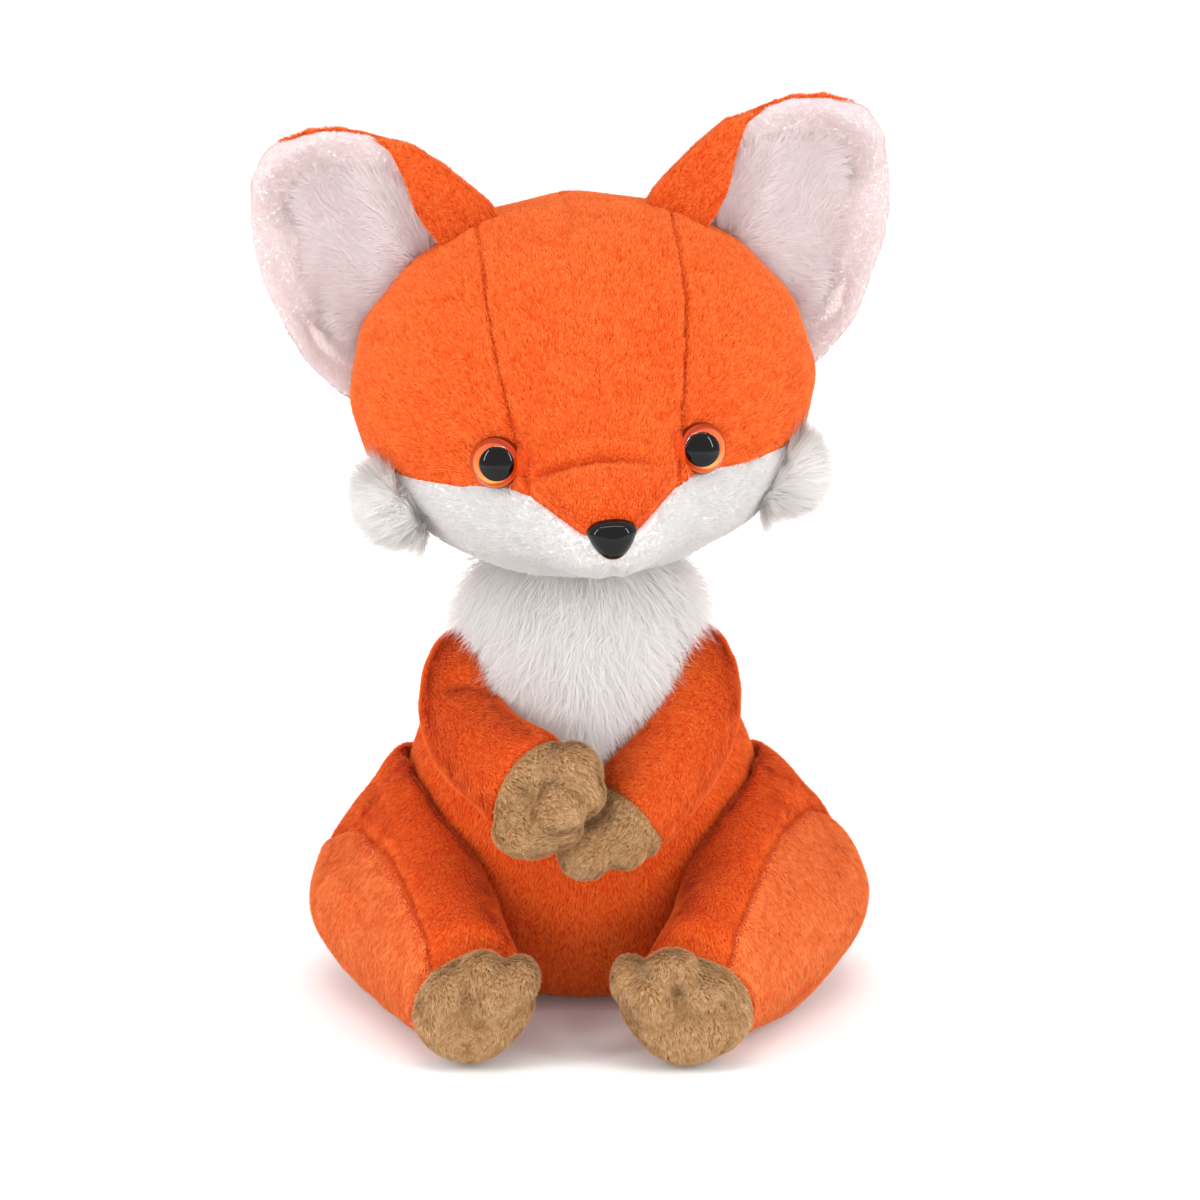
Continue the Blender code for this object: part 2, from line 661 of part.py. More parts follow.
def washer_profile(post, radius, top):
    bottom = top - WASHER_THICK
    return [(post + GAP, top), (radius, top), (radius, bottom), (post + GAP, bottom)]


def washer_room(name, radius, top):
    """The hollow in the fibre that a washer and the end of its post lie in."""
    deep = top - WASHER_THICK - GAP
    high = radius
    wide = radius + GAP
    thin = POST_DIAMETER / 2 + GAP
    end = -POST_LENGTH - GAP
    profile = [(0, high), (wide, high), (wide, deep), (thin, deep), (thin, end), (0, end)]
    return turned(name, profile, CUTTERS, TUFT_FACES)


def hang_local(ob, parent):
    """Parents a piece whose place is given in the parent's own frame."""
    ob.parent = parent
    return ob


def make_nose(skull, clearance, pose):
    start = Vector((0, -SEAM_DEPTH, NOSE_HEIGHT))
    place, _ = surface_hit(skull, start, Vector((0, 1, 0)))
    frame = seated(place, Vector((0, -1, 0)))
    bm = bmesh.new()
    bmesh.ops.create_uvsphere(bm, u_segments=ROUND_FACES, v_segments=ROUND_FACES // 2, radius=1)
    for vert in bm.verts:
        narrow = 1 - NOSE_NARROWING * max(0, -vert.co.y)
        vert.co.x *= narrow * NOSE_WIDTH / 2
        vert.co.y *= NOSE_TALL / 2
        vert.co.z *= NOSE_DEEP / 2
    mesh = bpy.data.meshes.new("nose")
    bm.to_mesh(mesh)
    bm.free()
    nose = new_object("nose", mesh, FOX)
    post = POST_DIAMETER / 2
    under = -CLOTH - NOSE_WASHER_DROP
    stem = turned("nose_stem", [(0, 0), (post, 0), (post, -POST_LENGTH), (0, -POST_LENGTH)], CUTTERS)
    washer = turned("nose_washer", washer_profile(post, NOSE_WASHER_DIAMETER / 2, under), FOX)
    hole = post_hole("nose_hole", NOSE_DEEP)
    room = washer_room("nose_room", NOSE_WASHER_DIAMETER / 2, under)
    boolean(nose, clearance)
    boolean(nose, stem, "UNION")
    for ob in (nose, stem, washer, hole, room):
        ob.matrix_local = frame
        hang_local(ob, pose)
    finish(nose, BLACK, PLASTIC_ROUGHNESS)
    finish(washer, NYLON, PLUSH_ROUGHNESS / 2)
    return hole, room


def mirror_outline(outline):
    """Both halves of an outline given on the +X side, from the top down."""
    return [(x, z) for x, z in outline] + [(-x, z) for x, z in reversed(outline)]


def make_head(pose):
    """Crown, side and face panels round the fibre, with the eyes and the nose set through them."""
    cage = head_cage()
    skull = form("skull", cage, CUTTERS)
    clearance = form("skull_clearance", cage, CUTTERS, -GAP)
    cavity = form("head_cavity", cage, CUTTERS, CLOTH)
    neck = half_space("head_neck_cut", (0, 0, NECK_HEIGHT), (0, 0, -1), -GAP / 2)
    plastics = [make_eye(side, skull, clearance, pose) for side in SIDES]
    plastics.append(make_nose(skull, clearance, pose))
    crown_outline = mirror_outline(CROWN_SEAM)
    face_low = -HEAD_HEIGHT
    edge = FACE_SEAM[-1][0]
    face_outline = [(edge, face_low), (-edge, face_low)]
    face_outline += [(-x, z) for x, z in reversed(FACE_SEAM)] + list(FACE_SEAM)
    crown_in = prism("crown_in", crown_outline, -SEAM_DEPTH, SEAM_DEPTH)
    crown_out = prism("crown_out", crown_outline, -SEAM_DEPTH, SEAM_DEPTH, GAP)
    face_in = prism("face_in", face_outline, -SEAM_DEPTH, FACE_BACK_Y)
    face_out = prism("face_out", face_outline, -SEAM_DEPTH, FACE_BACK_Y + GAP, GAP)
    left, right = split("head_middle", (0, 0, 0), (1, 0, 0))
    for ob in (skull, clearance, cavity, crown_in, crown_out, face_in, face_out, left, right):
        hang_local(ob, pose)
    panels = (
        ("head_gusset", crown_in, (face_out,), ORANGE),
        ("head_side_left", None, (crown_out, face_out, right), ORANGE),
        ("head_side_right", None, (crown_out, face_out, left), ORANGE),
        ("face_panel", face_in, (), WHITE),
    )
    for name, inside, outside, colour in panels:
        skin = form(name, cage, FOX)
        hang_local(skin, pose)
        boolean(skin, cavity)
        boolean(skin, neck)
        if inside:
            boolean(skin, inside, "INTERSECT")
        for region in outside:
            boolean(skin, region)
        for hole, _ in plastics:
            boolean(skin, hole)
        finish(skin, colour, PLUSH_ROUGHNESS)
    fibre = form("head_stuffing", cage, FOX, CLOTH + FIBRE_GAP)
    hang_local(fibre, pose)
    boolean(fibre, neck)
    for _, room in plastics:
        boolean(fibre, room)
    finish(fibre, FIBRE, PLUSH_ROUGHNESS)
    return cage


def make_tufts(cage, pose):
    clear = hang_local(form("tuft_clear", cage, CUTTERS, -GAP), pose)
    for side in SIDES:
        tuft = ball(f"cheek_tuft_{side}", Vector(), 0.5, FOX, TUFT_FACES)
        tuft.data.transform(Matrix.Diagonal((*TUFT_SIZE, 1)))
        tuft.data.transform(Matrix.Translation(mirrored(TUFT_PLACE, side)))
        hang_local(tuft, pose)
        boolean(tuft, clear)
        finish(tuft, WHITE, PLUSH_ROUGHNESS)


def ear_cage(name, sign):
    """A cupped sheet: the ear's outline with a ring and a middle drawn back from it."""
    bm = bmesh.new()
    outline = [Vector(point) for point in EAR_OUTLINE]
    middle = sum(outline, Vector((0, 0))) / len(outline)
    rings = []
    for share in (1.0, EAR_RING_SHARE):
        depth = EAR_Y + EAR_CUP * (1 - share**2)
        points = [middle + (point - middle) * share for point in outline]
        rings.append([bm.verts.new((sign * x, depth, z)) for x, z in points])
    count = len(outline)
    for i in range(count):
        j = (i + 1) % count
        bm.faces.new((rings[0][i], rings[0][j], rings[1][j], rings[1][i]))
    bm.faces.new(rings[1])
    bmesh.ops.recalc_face_normals(bm, faces=bm.faces)
    if sum(face.normal.y * face.calc_area() for face in bm.faces) > 0:
        bmesh.ops.reverse_faces(bm, faces=bm.faces)
    mesh = bpy.data.meshes.new(name)
    bm.to_mesh(mesh)
    bm.free()
    return mesh


def ear_sheet(name, cage, lift, thick):
    """One layer of the ear: lifted forwards off the cage, then given its thickness forwards."""
    ob = form(name, cage, FOX, -lift)
    cloth = ob.modifiers.new("cloth", "SOLIDIFY")
    cloth.thickness = thick
    cloth.offset = 1
    return ob


def make_ears(cage, pose):
    """Back, lining and fur patch of each ear, with the base cut to the head for every flop."""
    frame = FRAMES[pose.name]
    lining_lift = EAR_CLOTH + GAP
    fur_lift = lining_lift + EAR_LINING_CLOTH + GAP
    core = sum((Vector(point) for point in EAR_LINING_OUTLINE), Vector((0, 0))) / len(EAR_LINING_OUTLINE)
    fur_outline = [core + (Vector(point) - core) * EAR_FUR_SHARE for point in EAR_LINING_OUTLINE]
    for side, sign in SIDES.items():
        inner = frame @ mirrored(EAR_BASE_INNER, side)
        outer = frame @ mirrored(EAR_BASE_OUTER, side)
        middle = (inner + outer) / 2
        axis = empty(f"ear_axis_{side}", Matrix.Translation(middle) @ frame.to_3x3().to_4x4(), pose)
        line = (outer - inner).normalized()
        room = swept_room(f"ear_clear_{side}", cage, frame, middle, line, (-EAR_FLOP, EAR_FLOP))
        sheet = ear_cage(f"ear_cage_{side}", sign)
        sheet.transform(frame)
        layers = (
            ("ear_back", 0.0, EAR_CLOTH, None, ORANGE),
            ("ear_lining", lining_lift, EAR_LINING_CLOTH, EAR_LINING_OUTLINE, WHITE),
            ("ear_fur", fur_lift, EAR_FUR_THICK, fur_outline, WHITE),
        )
        for name, lift, thick, outline, colour in layers:
            ob = ear_sheet(f"{name}_{side}", sheet, lift, thick)
            boolean(ob, room)
            if outline:
                cut = prism(f"{name}_cut_{side}", [(sign * x, z) for x, z in outline], -EAR_REACH, EAR_REACH)
                cut.data.transform(frame)
                boolean(ob, cut, "INTERSECT")
            finish(ob, colour, PLUSH_ROUGHNESS)
            hang(ob, axis)


FRAMES = {}
FOX, CUTTERS = start_scene()
FLOOR = half_space("floor", (0, 0, 0), (0, 0, -1))
body = empty("body", Matrix())
neck_axis = empty("neck_axis", Matrix.Translation((0, NECK_AXIS_Y, NECK_HEIGHT)), body)
posture = Matrix.Translation(HEAD_CENTRE)
posture = posture @ Matrix.Rotation(HEAD_YAW, 4, "Z") @ Matrix.Rotation(HEAD_ROLL, 4, "Y")
head_pose = empty("head_pose", posture, neck_axis)
head = make_head(head_pose)
make_tufts(head, head_pose)
make_ears(head, head_pose)
torso = torso_cage()
for piece in make_torso(torso):
    hang(piece, body)
make_arms(torso, body)
make_legs(torso, body)
make_tail(torso, body)
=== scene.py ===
"""Sitting plush fox with folded paws: its cloth, pile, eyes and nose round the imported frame.

The solids of each stuffed form are closed into one even skin, rounded, pressed with its seams and
folds, and cut into its sewn panels again. Every panel then grows its pile as real strands. The fox
faces -Y with +Z up, left is its own left at +X, and lengths are in metres.
"""
from itertools import product
from math import cos, pi, radians, sin

import bmesh
import bpy
import numpy as np
from mathutils import Matrix, Vector


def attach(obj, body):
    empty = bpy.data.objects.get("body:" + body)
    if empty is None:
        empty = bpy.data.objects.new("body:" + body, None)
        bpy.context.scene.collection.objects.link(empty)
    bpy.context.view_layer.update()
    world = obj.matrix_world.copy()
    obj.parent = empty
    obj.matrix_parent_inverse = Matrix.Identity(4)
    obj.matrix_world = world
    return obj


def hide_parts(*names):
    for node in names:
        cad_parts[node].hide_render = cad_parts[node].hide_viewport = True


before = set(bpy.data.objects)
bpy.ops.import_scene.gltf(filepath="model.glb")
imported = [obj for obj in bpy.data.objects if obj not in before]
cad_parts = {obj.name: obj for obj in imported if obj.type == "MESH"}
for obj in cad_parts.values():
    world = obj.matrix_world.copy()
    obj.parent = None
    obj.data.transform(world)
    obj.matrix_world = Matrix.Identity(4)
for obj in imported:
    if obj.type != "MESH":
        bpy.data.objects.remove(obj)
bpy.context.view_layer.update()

SIDES = {"left": 1, "right": -1}
MOST_FACES = 196000  # faces that one piece may keep in the exported model
BACKING = 0.0012  # knitted ground cloth under the pile
FLOOR_GAP = 0.0004  # how far the cloth stays above the floor, where the fox rests on it
STRAND_GAP = 0.0002  # and the pile
STRAND_TWIST = 0.20  # how far strands turn round their own length
WHOLE_RAMP = (0.02, 0.98)  # the share of its ramp of tones that a pile shows
SMOOTHING = 10  # rounds in which the shading of a panel is evened out
EDGE_ROUNDS = 12  # and the edge between two panels

# The head's own frame: where its middle is, and how the head is turned and tilted
HEAD_CENTRE = Vector((0.0005, -0.017, 0.204))
HEAD_ROLL = radians(-3.5)
HEAD_YAW = radians(4.6)
HEAD_TURN = (Matrix.Rotation(HEAD_YAW, 4, "Z") @ Matrix.Rotation(HEAD_ROLL, 4, "Y")).to_3x3()
HEAD_POSE = Matrix.Translation(HEAD_CENTRE) @ HEAD_TURN.to_4x4()

# Seams of the head, as seen from the front: distance from the middle, height
CROWN_SEAM = ((0.030, 0.100), (0.0308, 0.056), (0.0308, 0.035), (0.0290, 0.018), (0.0255, -0.003),
              (0.0225, -0.018), (0.0080, -0.028))
FACE_SEAM = ((0.000, -0.0290), (0.0080, -0.0280), (0.0237, -0.0182), (0.0300, -0.0162), (0.0450, -0.0168),
             (0.0620, -0.0155), (0.095, -0.0145))
FACE_BACK_Y = -0.004
NOSE_TIP = np.array((0.0, -0.098, -0.028))

# Camera, from the photograph's viewpoint
CAMERA_ELEVATION = radians(14)
CAMERA_DISTANCE = 1.300
CAMERA_AIM = Vector((0.0062, 0.006, 0.1272))
CAMERA_LENS = 115.93
SENSOR = 36


def linear(code):
    """An sRGB hex value as linear red, green, blue and alpha."""
    parts = [int(code[i:i + 2], 16) / 255 for i in (1, 3, 5)]
    return [c / 12.92 if c <= 0.04045 else ((c + 0.055) / 1.055) ** 2.4 for c in parts] + [1]


def add(tree, kind, settings=None, inputs=None, stops=None):
    """Adds a node with its settings, its input values or the sockets that feed them, and ramp stops."""
    made = tree.nodes.new(kind)
    for name, value in (settings or {}).items():
        setattr(made, name, value)
    for socket, value in (inputs or {}).items():
        if isinstance(value, bpy.types.NodeSocket):
            tree.links.new(value, made.inputs[socket])
        else:
            made.inputs[socket].default_value = value
    for place, code in stops or ():
        edge = made.color_ramp.elements
        stop = edge[0] if place == 0 else edge[-1] if place == 1 else edge.new(place)
        stop.color = linear(code)
    return made


def material(name, **sockets):
    """An empty Principled material with constant values on its own sockets."""
    made = bpy.data.materials.new(name)
    made.use_nodes = True
    tree = made.node_tree
    shader = tree.nodes["Principled BSDF"]
    for socket, value in sockets.items():
        shader.inputs[socket.replace("_", " ")].default_value = value
    return made, tree, shader


def pile_material(name, deep, middle, tip, dull, haze, sheen=0.5):
    """Acrylic pile fibre, extruded and sheared. Its colour is darker at the root, a painted shade down among
    the fibres, and paler at the tip, a painted light on the tips.

    Each strand's map runs from root to tip, and its place across the map is the strand's own tone.
    """
    made, tree, shader = material(name, Roughness=0.75, Specular_IOR_Level=0.25, Sheen_Weight=sheen,
                                  Sheen_Roughness=0.5, Sheen_Tint=linear(haze))
    place = add(tree, "ShaderNodeUVMap", {"uv_map": "OFBake"})
    split = add(tree, "ShaderNodeSeparateXYZ", inputs={0: place.outputs[0]})
    # Painted shade at the root, to painted light at the tip, along each strand
    along = add(tree, "ShaderNodeValToRGB", inputs={0: split.outputs[1]},
                stops=((0, deep), (0.50, middle), (1, tip)))
    worn = add(tree, "ShaderNodeMapRange", inputs={0: split.outputs[0], 3: 0.0, 4: 0.85})
    tone = add(tree, "ShaderNodeMix", {"data_type": "RGBA", "blend_type": "MIX"},
               {0: worn.outputs[0], 6: linear(dull), 7: along.outputs[0]})
    tree.links.new(tone.outputs[2], shader.inputs["Base Color"])
    # Fibres are round and clear, and pass on half of the light, so that pile glows at its edges
    through = add(tree, "ShaderNodeBsdfTranslucent", inputs={"Color": tone.outputs[2]})
    both = add(tree, "ShaderNodeMixShader", inputs={0: 0.50, 1: shader.outputs[0], 2: through.outputs[0]})
    tree.links.new(both.outputs[0], tree.nodes["Material Output"].inputs["Surface"])
    return made


def backing_material(name, ground, shade, stitch=0.0011):
    """Knitted polyester ground cloth, dyed, whose loops show wherever the pile parts. Its tone follows the
    noise of its bumps, darker where the loops sink: a painted shade in the knit's hollows.
    """
    made, tree, shader = material(name, Roughness=0.95, Specular_IOR_Level=0.1, Sheen_Weight=0.1)
    place = add(tree, "ShaderNodeTexCoord")
    loops = add(tree, "ShaderNodeTexNoise", inputs={"Vector": place.outputs["Object"], "Scale": 1 / stitch,
                                                    "Detail": 2.0})
    tint = add(tree, "ShaderNodeValToRGB", inputs={0: loops.outputs[0]}, stops=((0, shade), (1, ground)))
    relief = add(tree, "ShaderNodeBump", inputs={"Height": loops.outputs[0], "Distance": stitch / 3})
    tree.links.new(tint.outputs[0], shader.inputs["Base Color"])
    tree.links.new(relief.outputs[0], shader.inputs["Normal"])
    return made


# Even skins


def closed_skin(names, voxel, more=(), reach=0.0):
    """One closed and rounded surface of even square faces, round the named solids and more meshes."""
    together = bmesh.new()
    for mesh in [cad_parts[name].data for name in names] + list(more):
        together.from_mesh(mesh)
    mesh = bpy.data.meshes.new("skin")
    together.to_mesh(mesh)
    together.free()
    ob = bpy.data.objects.new("skin", mesh)
    bpy.context.scene.collection.objects.link(ob)
    even = ob.modifiers.new("even", "REMESH")
    even.mode = "VOXEL"
    even.voxel_size = voxel
    shape = ob.evaluated_get(bpy.context.evaluated_depsgraph_get()).to_mesh()
    points = np.empty(len(shape.vertices) * 3)
    shape.vertices.foreach_get("co", points)
    quads = np.empty(len(shape.loops), np.int32)
    shape.loops.foreach_get("vertex_index", quads)
    bpy.data.objects.remove(ob)
    points, quads = points.reshape(-1, 3), quads.reshape(-1, 4)
    return rounded(points, quads, reach, voxel), quads


def edge_ends(quads):
    """Both ends of every face's edges, in each face's own direction."""
    return np.concatenate([quads[:, [i, (i + 1) % 4]] for i in range(4)])


def spread(values, ends, rounds):
    """Averages values over neighbours again and again, which blurs them over the surface."""
    count = np.maximum(np.bincount(ends[:, 0], minlength=len(values)), 1)
    for _ in range(rounds):
        around = np.stack([np.bincount(ends[:, 0], values[ends[:, 1], k], len(values)) for k in range(3)], 1)
        values = (values + around / count[:, None]) / 2
    return values


def rounded(points, quads, reach, voxel):
    """Takes off a skin's corners over the given reach, and gives back the bulk that this would lose."""
    ends = edge_ends(quads)
    rounds = int(4 * (reach / voxel) ** 2)
    smooth = spread(points, ends, rounds)
    return smooth + spread(points - smooth, ends, rounds)


def unit(vectors):
    """The vectors with a length of 1."""
    return vectors / np.maximum(np.linalg.norm(vectors, axis=1), 1e-12)[:, None]


def surface_normals(points, quads):
    """Which way a skin faces at each point."""
    corners = points[quads]
    facing = np.cross(corners[:, 2] - corners[:, 0], corners[:, 3] - corners[:, 1])
    total = [np.bincount(quads.ravel(), np.repeat(facing[:, k], 4), len(points)) for k in range(3)]
    total = np.stack(total, axis=1)
    return unit(total)


def even_normals(points, quads):
    """Which way a skin faces at each point, without its small bumps."""
    return unit(spread(surface_normals(points, quads), edge_ends(quads), SMOOTHING))


def near_line(places, line):
    """Distance of each flat place from a line through points."""
    best = np.full(len(places), np.inf)
    for start, end in zip(np.array(line[:-1]), np.array(line[1:])):
        run = end - start
        share = np.clip((places - start) @ run / (run @ run), 0, 1)
        best = np.minimum(best, np.linalg.norm(places - start - share[:, None] * run, axis=1))
    return best


def dent(distance, width):
    """A soft valley, 1 in the middle and gone at about twice the width."""
    return np.exp(-((distance / width) ** 2))


def rise(values, low, high):
    """A soft step from 0 at low to 1 at high."""
    share = np.clip((values - low) / (high - low), 0, 1)
    return share * share * (3 - 2 * share)


def chance(cells, seed):
    """Three numbers from -1 to 1 for each whole-number cell, the same on every run."""
    key = cells.astype(np.int64) @ np.array([73856093, 19349663, 83492791]) + seed * 1013904223
    key = ((key ^ (key >> 13)) * 1274126177) & 0xFFFFFFFF
    return np.stack([(((key * k) >> 5) & 0xFFFF) / 32767.5 - 1 for k in (1, 40503, 30011)], axis=1)


def drift(points, size, seed):
    """Directions that wander smoothly over a distance of size."""
    cells = points / size
    low = np.floor(cells)
    share = cells - low
    share = share * share * (3 - 2 * share)
    total = np.zeros_like(points)
    for corner in product((0, 1), repeat=3):
        weight = np.prod(np.where(corner, share, 1 - share), axis=1)
        total += weight[:, None] * chance(low + corner, seed)
    return total


def tuft_middles(points, size, seed):
    """The middle of the tuft that each root belongs to, and a number of its own."""
    low = np.floor(points / size - 0.5)
    best = np.full(len(points), np.inf)
    middle = np.zeros_like(points)
    tone = np.zeros(len(points))
    for corner in product((0, 1), repeat=3):
        cell = low + corner
        luck = chance(cell, seed)
        centre = (cell + 0.5 + 0.4 * luck) * size
        gap = np.linalg.norm(centre - points, axis=1)
        closer = gap < best
        best = np.where(closer, gap, best)
        middle = np.where(closer[:, None], centre, middle)
        tone = np.where(closer, chance(cell, seed + 7)[:, 0], tone)
    return middle, tone


def quick_mesh(name, points, faces):
    """A mesh straight from arrays, all of whose faces have the same number of corners."""
    mesh = bpy.data.meshes.new(name)
    mesh.vertices.add(len(points))
    mesh.vertices.foreach_set("co", points.astype(np.float32).ravel())
    mesh.loops.add(faces.size)
    mesh.loops.foreach_set("vertex_index", faces.astype(np.int32).ravel())
    mesh.polygons.add(len(faces))
    mesh.polygons.foreach_set("loop_start", np.arange(0, faces.size, faces.shape[1], dtype=np.int32))
    mesh.update(calc_edges=True)
    return mesh


def new_piece(name, mesh, finish):
    """An object in the scene with its material and smooth shading."""
    mesh.materials.append(finish)
    mesh.polygons.foreach_set("use_smooth", np.full(len(mesh.polygons), True))
    ob = bpy.data.objects.new(name, mesh)
    bpy.context.scene.collection.objects.link(ob)
    return ob


def even_edges(points, quads, labels):
    """Draws the stepped edge between two panels into a smooth line."""
    ends = edge_ends(quads)
    owner = np.tile(labels, 4)
    key = np.sort(ends, axis=1) @ np.array([len(points), 1])
    order = np.argsort(key, kind="stable")
    same = key[order][1:] == key[order][:-1]
    first, second = order[:-1][same], order[1:][same]
    parted = ends[first[owner[first] != owner[second]]]
    both = np.concatenate([parted, parted[:, ::-1]])
    moved = spread(points, both, EDGE_ROUNDS)
    touched = np.unique(both)
    result = points.copy()
    result[touched] = moved[touched]
    return result


def cloth_piece(name, points, normals, quads, finish):
    """One panel of ground cloth with its thickness inwards."""
    used, index = np.unique(quads, return_inverse=True)
    outer = index.reshape(-1, 4)
    count = len(used)
    ends = edge_ends(outer)
    keys = ends @ np.array([count, 1])
    back = ends[:, ::-1] @ np.array([count, 1])
    rim = ends[~np.isin(keys, back)]
    sides = np.stack([rim[:, 1], rim[:, 0], rim[:, 0] + count, rim[:, 1] + count], axis=1)
    faces = np.concatenate([outer, outer[:, ::-1] + count, sides])
    both = np.concatenate([points[used], points[used] - normals[used] * BACKING])
    return new_piece(name, quick_mesh(name, both, faces), finish)


def grow(name, skin, recipe, comb, finish, trim=None):
    """Strands rooted all over a panel: combed, gathered into tufts and drawn to a point.

    comb gives the way that the pile lies at each root. trim gives the share of its length that is
    left there, for instance where a seam has caught it.
    """
    points, normals, quads = skin
    seed = sum(map(ord, name))
    luck = np.random.default_rng(seed)
    steps = recipe["steps"]
    corners = points[quads]
    area = np.linalg.norm(np.cross(corners[:, 2] - corners[:, 0], corners[:, 3] - corners[:, 1]), axis=1) / 2
    most = MOST_FACES // (2 * steps - 1)
    count = int(min(area.sum() * 1e6 * recipe["per_mm2"] * THINNING, most))
    pick = luck.choice(len(quads), count, p=area / area.sum())
    across, along = luck.random((2, count, 1))
    shares = ((1 - across) * (1 - along), across * (1 - along), across * along, (1 - across) * along)
    root = sum(share * points[quads[pick, i]] for i, share in enumerate(shares))
    normal = unit(sum(share * normals[quads[pick, i]] for i, share in enumerate(shares)))

    def flat(vectors):
        return vectors - normal * np.sum(vectors * normal, axis=1)[:, None]

    way = unit(flat(comb(root, normal))) + recipe["wander"] * flat(drift(root, recipe["swirl"], seed))
    way = unit(way + recipe["fray"] * flat(luck.normal(size=root.shape)))
    size = recipe["length"] * np.clip(1 + recipe["uneven"] * luck.normal(size=count), 0.35, 1.6)
    if trim:
        size *= trim(root)
    size = size[:, None]
    up, lay = recipe["up"], recipe["lay"]
    middle, tone = tuft_middles(root, recipe["tuft"], seed)
    gather = flat(middle - root) * recipe["gather"]
    bend = root + size * (normal * up * 0.75 + way * lay * 0.30) + gather * 0.35
    tip = root + size * (normal * up + way * lay) + gather
    tip[:, 2] -= recipe.get("sag", 0) * size[:, 0]
    spine = []
    for step in range(steps + 1):
        t = step / steps
        place = root * (1 - t) ** 2 + bend * (2 * t * (1 - t)) + tip * t**2
        place[:, 2] = np.maximum(place[:, 2], STRAND_GAP)
        spine.append(place)
    run = tip - root
    length = np.linalg.norm(run, axis=1)[:, None]
    side = unit(np.cross(run, normal) + STRAND_TWIST * length * luck.normal(size=root.shape))
    side = unit(side - run * (np.sum(side * run, axis=1) / np.sum(run * run, axis=1))[:, None])
    facing = unit(np.cross(side, run))
    turned = np.where(np.sum(facing * normal, axis=1) < 0, -1.0, 1.0)[:, None]
    side, facing = side * turned * recipe["width"] / 2, facing * turned
    corners = []
    for step in range(steps):
        slim = (1 - step / steps) ** 0.6
        corners += [spine[step] - side * slim, spine[step] + side * slim]
    corners.append(spine[steps])
    verts = np.stack(corners, axis=1)
    wide = 2 * steps + 1
    single = []
    for step in range(steps - 1):
        a, b, c, d = 2 * step, 2 * step + 1, 2 * step + 3, 2 * step + 2
        single += [(a, b, c), (a, c, d)]
    single.append((2 * steps - 2, 2 * steps - 1, 2 * steps))
    faces = (np.arange(count)[:, None, None] * wide + np.array(single)[None]).reshape(-1, 3)
    mesh = quick_mesh(name, verts.reshape(-1, 3), faces)
    # Light runs through dense pile and round its fibres, so it is shaded much as the cloth under it
    soft = recipe["soft"]
    lit = unit(normal * soft + facing * (1 - soft))
    shading = mesh.attributes.new("custom_normal", "FLOAT_VECTOR", "POINT")
    shading.data.foreach_set("vector", np.repeat(lit, wide, axis=0).astype(np.float32).ravel())
    # Tones vary from tuft to tuft, over patches, and from strand to strand
    patch = drift(root, 0.012, seed + 3)[:, 0]
    shade = np.clip(0.62 + 0.28 * tone + 0.10 * patch + 0.24 * luck.normal(size=count), *WHOLE_RAMP)
    # Some recipes show only part of the ramp: its pale end as painted light, or a deeper part as painted
    # shade
    low, high = recipe.get("shows", WHOLE_RAMP)
    height = np.array([step // 2 / steps for step in range(2 * steps)] + [1.0]) * (high - low) + low
    grid = np.stack([np.repeat(shade, wide), np.tile(height, count)], axis=1)
    uv = mesh.uv_layers.new(name="OFBake")
    uv.data.foreach_set("uv", grid[faces.ravel()].astype(np.float32).ravel())
    return new_piece(name, mesh, finish)


def laid(x, y, z, fan=0.0):
    """A comb that lays all pile one way, or fans it out to both sides."""
    def comb(root, normal):
        return np.stack([root[:, 0] * fan + x, np.full(len(root), y), np.full(len(root), z)], axis=1)
    return comb


def dress(node, body, skin, cloth, pile, recipe, comb, also=(), trim=None):
    """One sewn panel: its ground cloth, which stands for the solid, with its pile on it."""
    points, normals, quads = skin
    base = cloth_piece(f"{node}_cloth", points, normals, quads, cloth)
    strands = grow(f"{node}_pile", skin, recipe, comb, pile, trim)
    strands.parent = base
    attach(base, body)
    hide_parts(node, *also)
    return base


def panels_of(points, quads, labels):
    """Skin of each label: all the points and normals, with its own faces."""
    points = even_edges(points, quads, labels)
    normals = even_normals(points, quads)
    return {label: (points, normals, quads[labels == label]) for label in np.unique(labels)}


THINNING = 1.0

# Pile recipes. Lengths are of the real pile; strands are drawn about twice as wide as fibres
# gathered by static are, because a single fibre of 0.02 mm is too fine to show.
NAP = dict(per_mm2=13.0, steps=1, length=0.0023, width=0.00034, up=0.34, lay=0.74, uneven=0.22, wander=0.70,
           swirl=0.0036, fray=0.28, tuft=0.0010, gather=0.66, soft=0.45)
# Lit and shaded copies of one nap, in paint: pile that lies towards the eye shows only the pale end of its
# ramp, a painted light, and pile that lies away a deeper part, a painted shade
AGAINST_NAP_PAINTED_LIT = {**NAP, "shows": (0.74, 1.0), "wander": 0.45, "up": 0.28, "soft": 0.60}
ALONG_NAP_PAINTED_SHADE = {**NAP, "shows": (0.06, 0.90)}
CURLY = dict(per_mm2=12.0, steps=2, length=0.0026, width=0.00034, up=0.36, lay=0.70, uneven=0.20, wander=0.9,
             swirl=0.0034, fray=0.30, tuft=0.0012, gather=0.70, soft=0.45)
FACE_PILE = dict(per_mm2=10.0, steps=2, length=0.0034, width=0.00034, up=0.22, lay=0.82, uneven=0.22,
                 wander=0.35, swirl=0.010, fray=0.30, tuft=0.0022, gather=0.40, soft=0.8)
VELOUR = dict(per_mm2=13.0, steps=1, length=0.0014, width=0.00040, up=0.20, lay=0.75, uneven=0.15,
              wander=0.30, swirl=0.010, fray=0.30, tuft=0.0012, gather=0.30, soft=0.85)
RUFF = dict(per_mm2=12.0, steps=3, length=0.0200, width=0.00030, up=0.28, lay=0.88, uneven=0.28, wander=0.55,
            swirl=0.010, fray=0.36, tuft=0.0034, gather=0.22, sag=0.08, soft=0.8)
TUFT_FUR = dict(per_mm2=30.0, steps=3, length=0.0125, width=0.00030, up=0.30, lay=0.82, uneven=0.26,
                wander=0.60, swirl=0.006, fray=0.40, tuft=0.0024, gather=0.20, sag=0.04, soft=0.8)
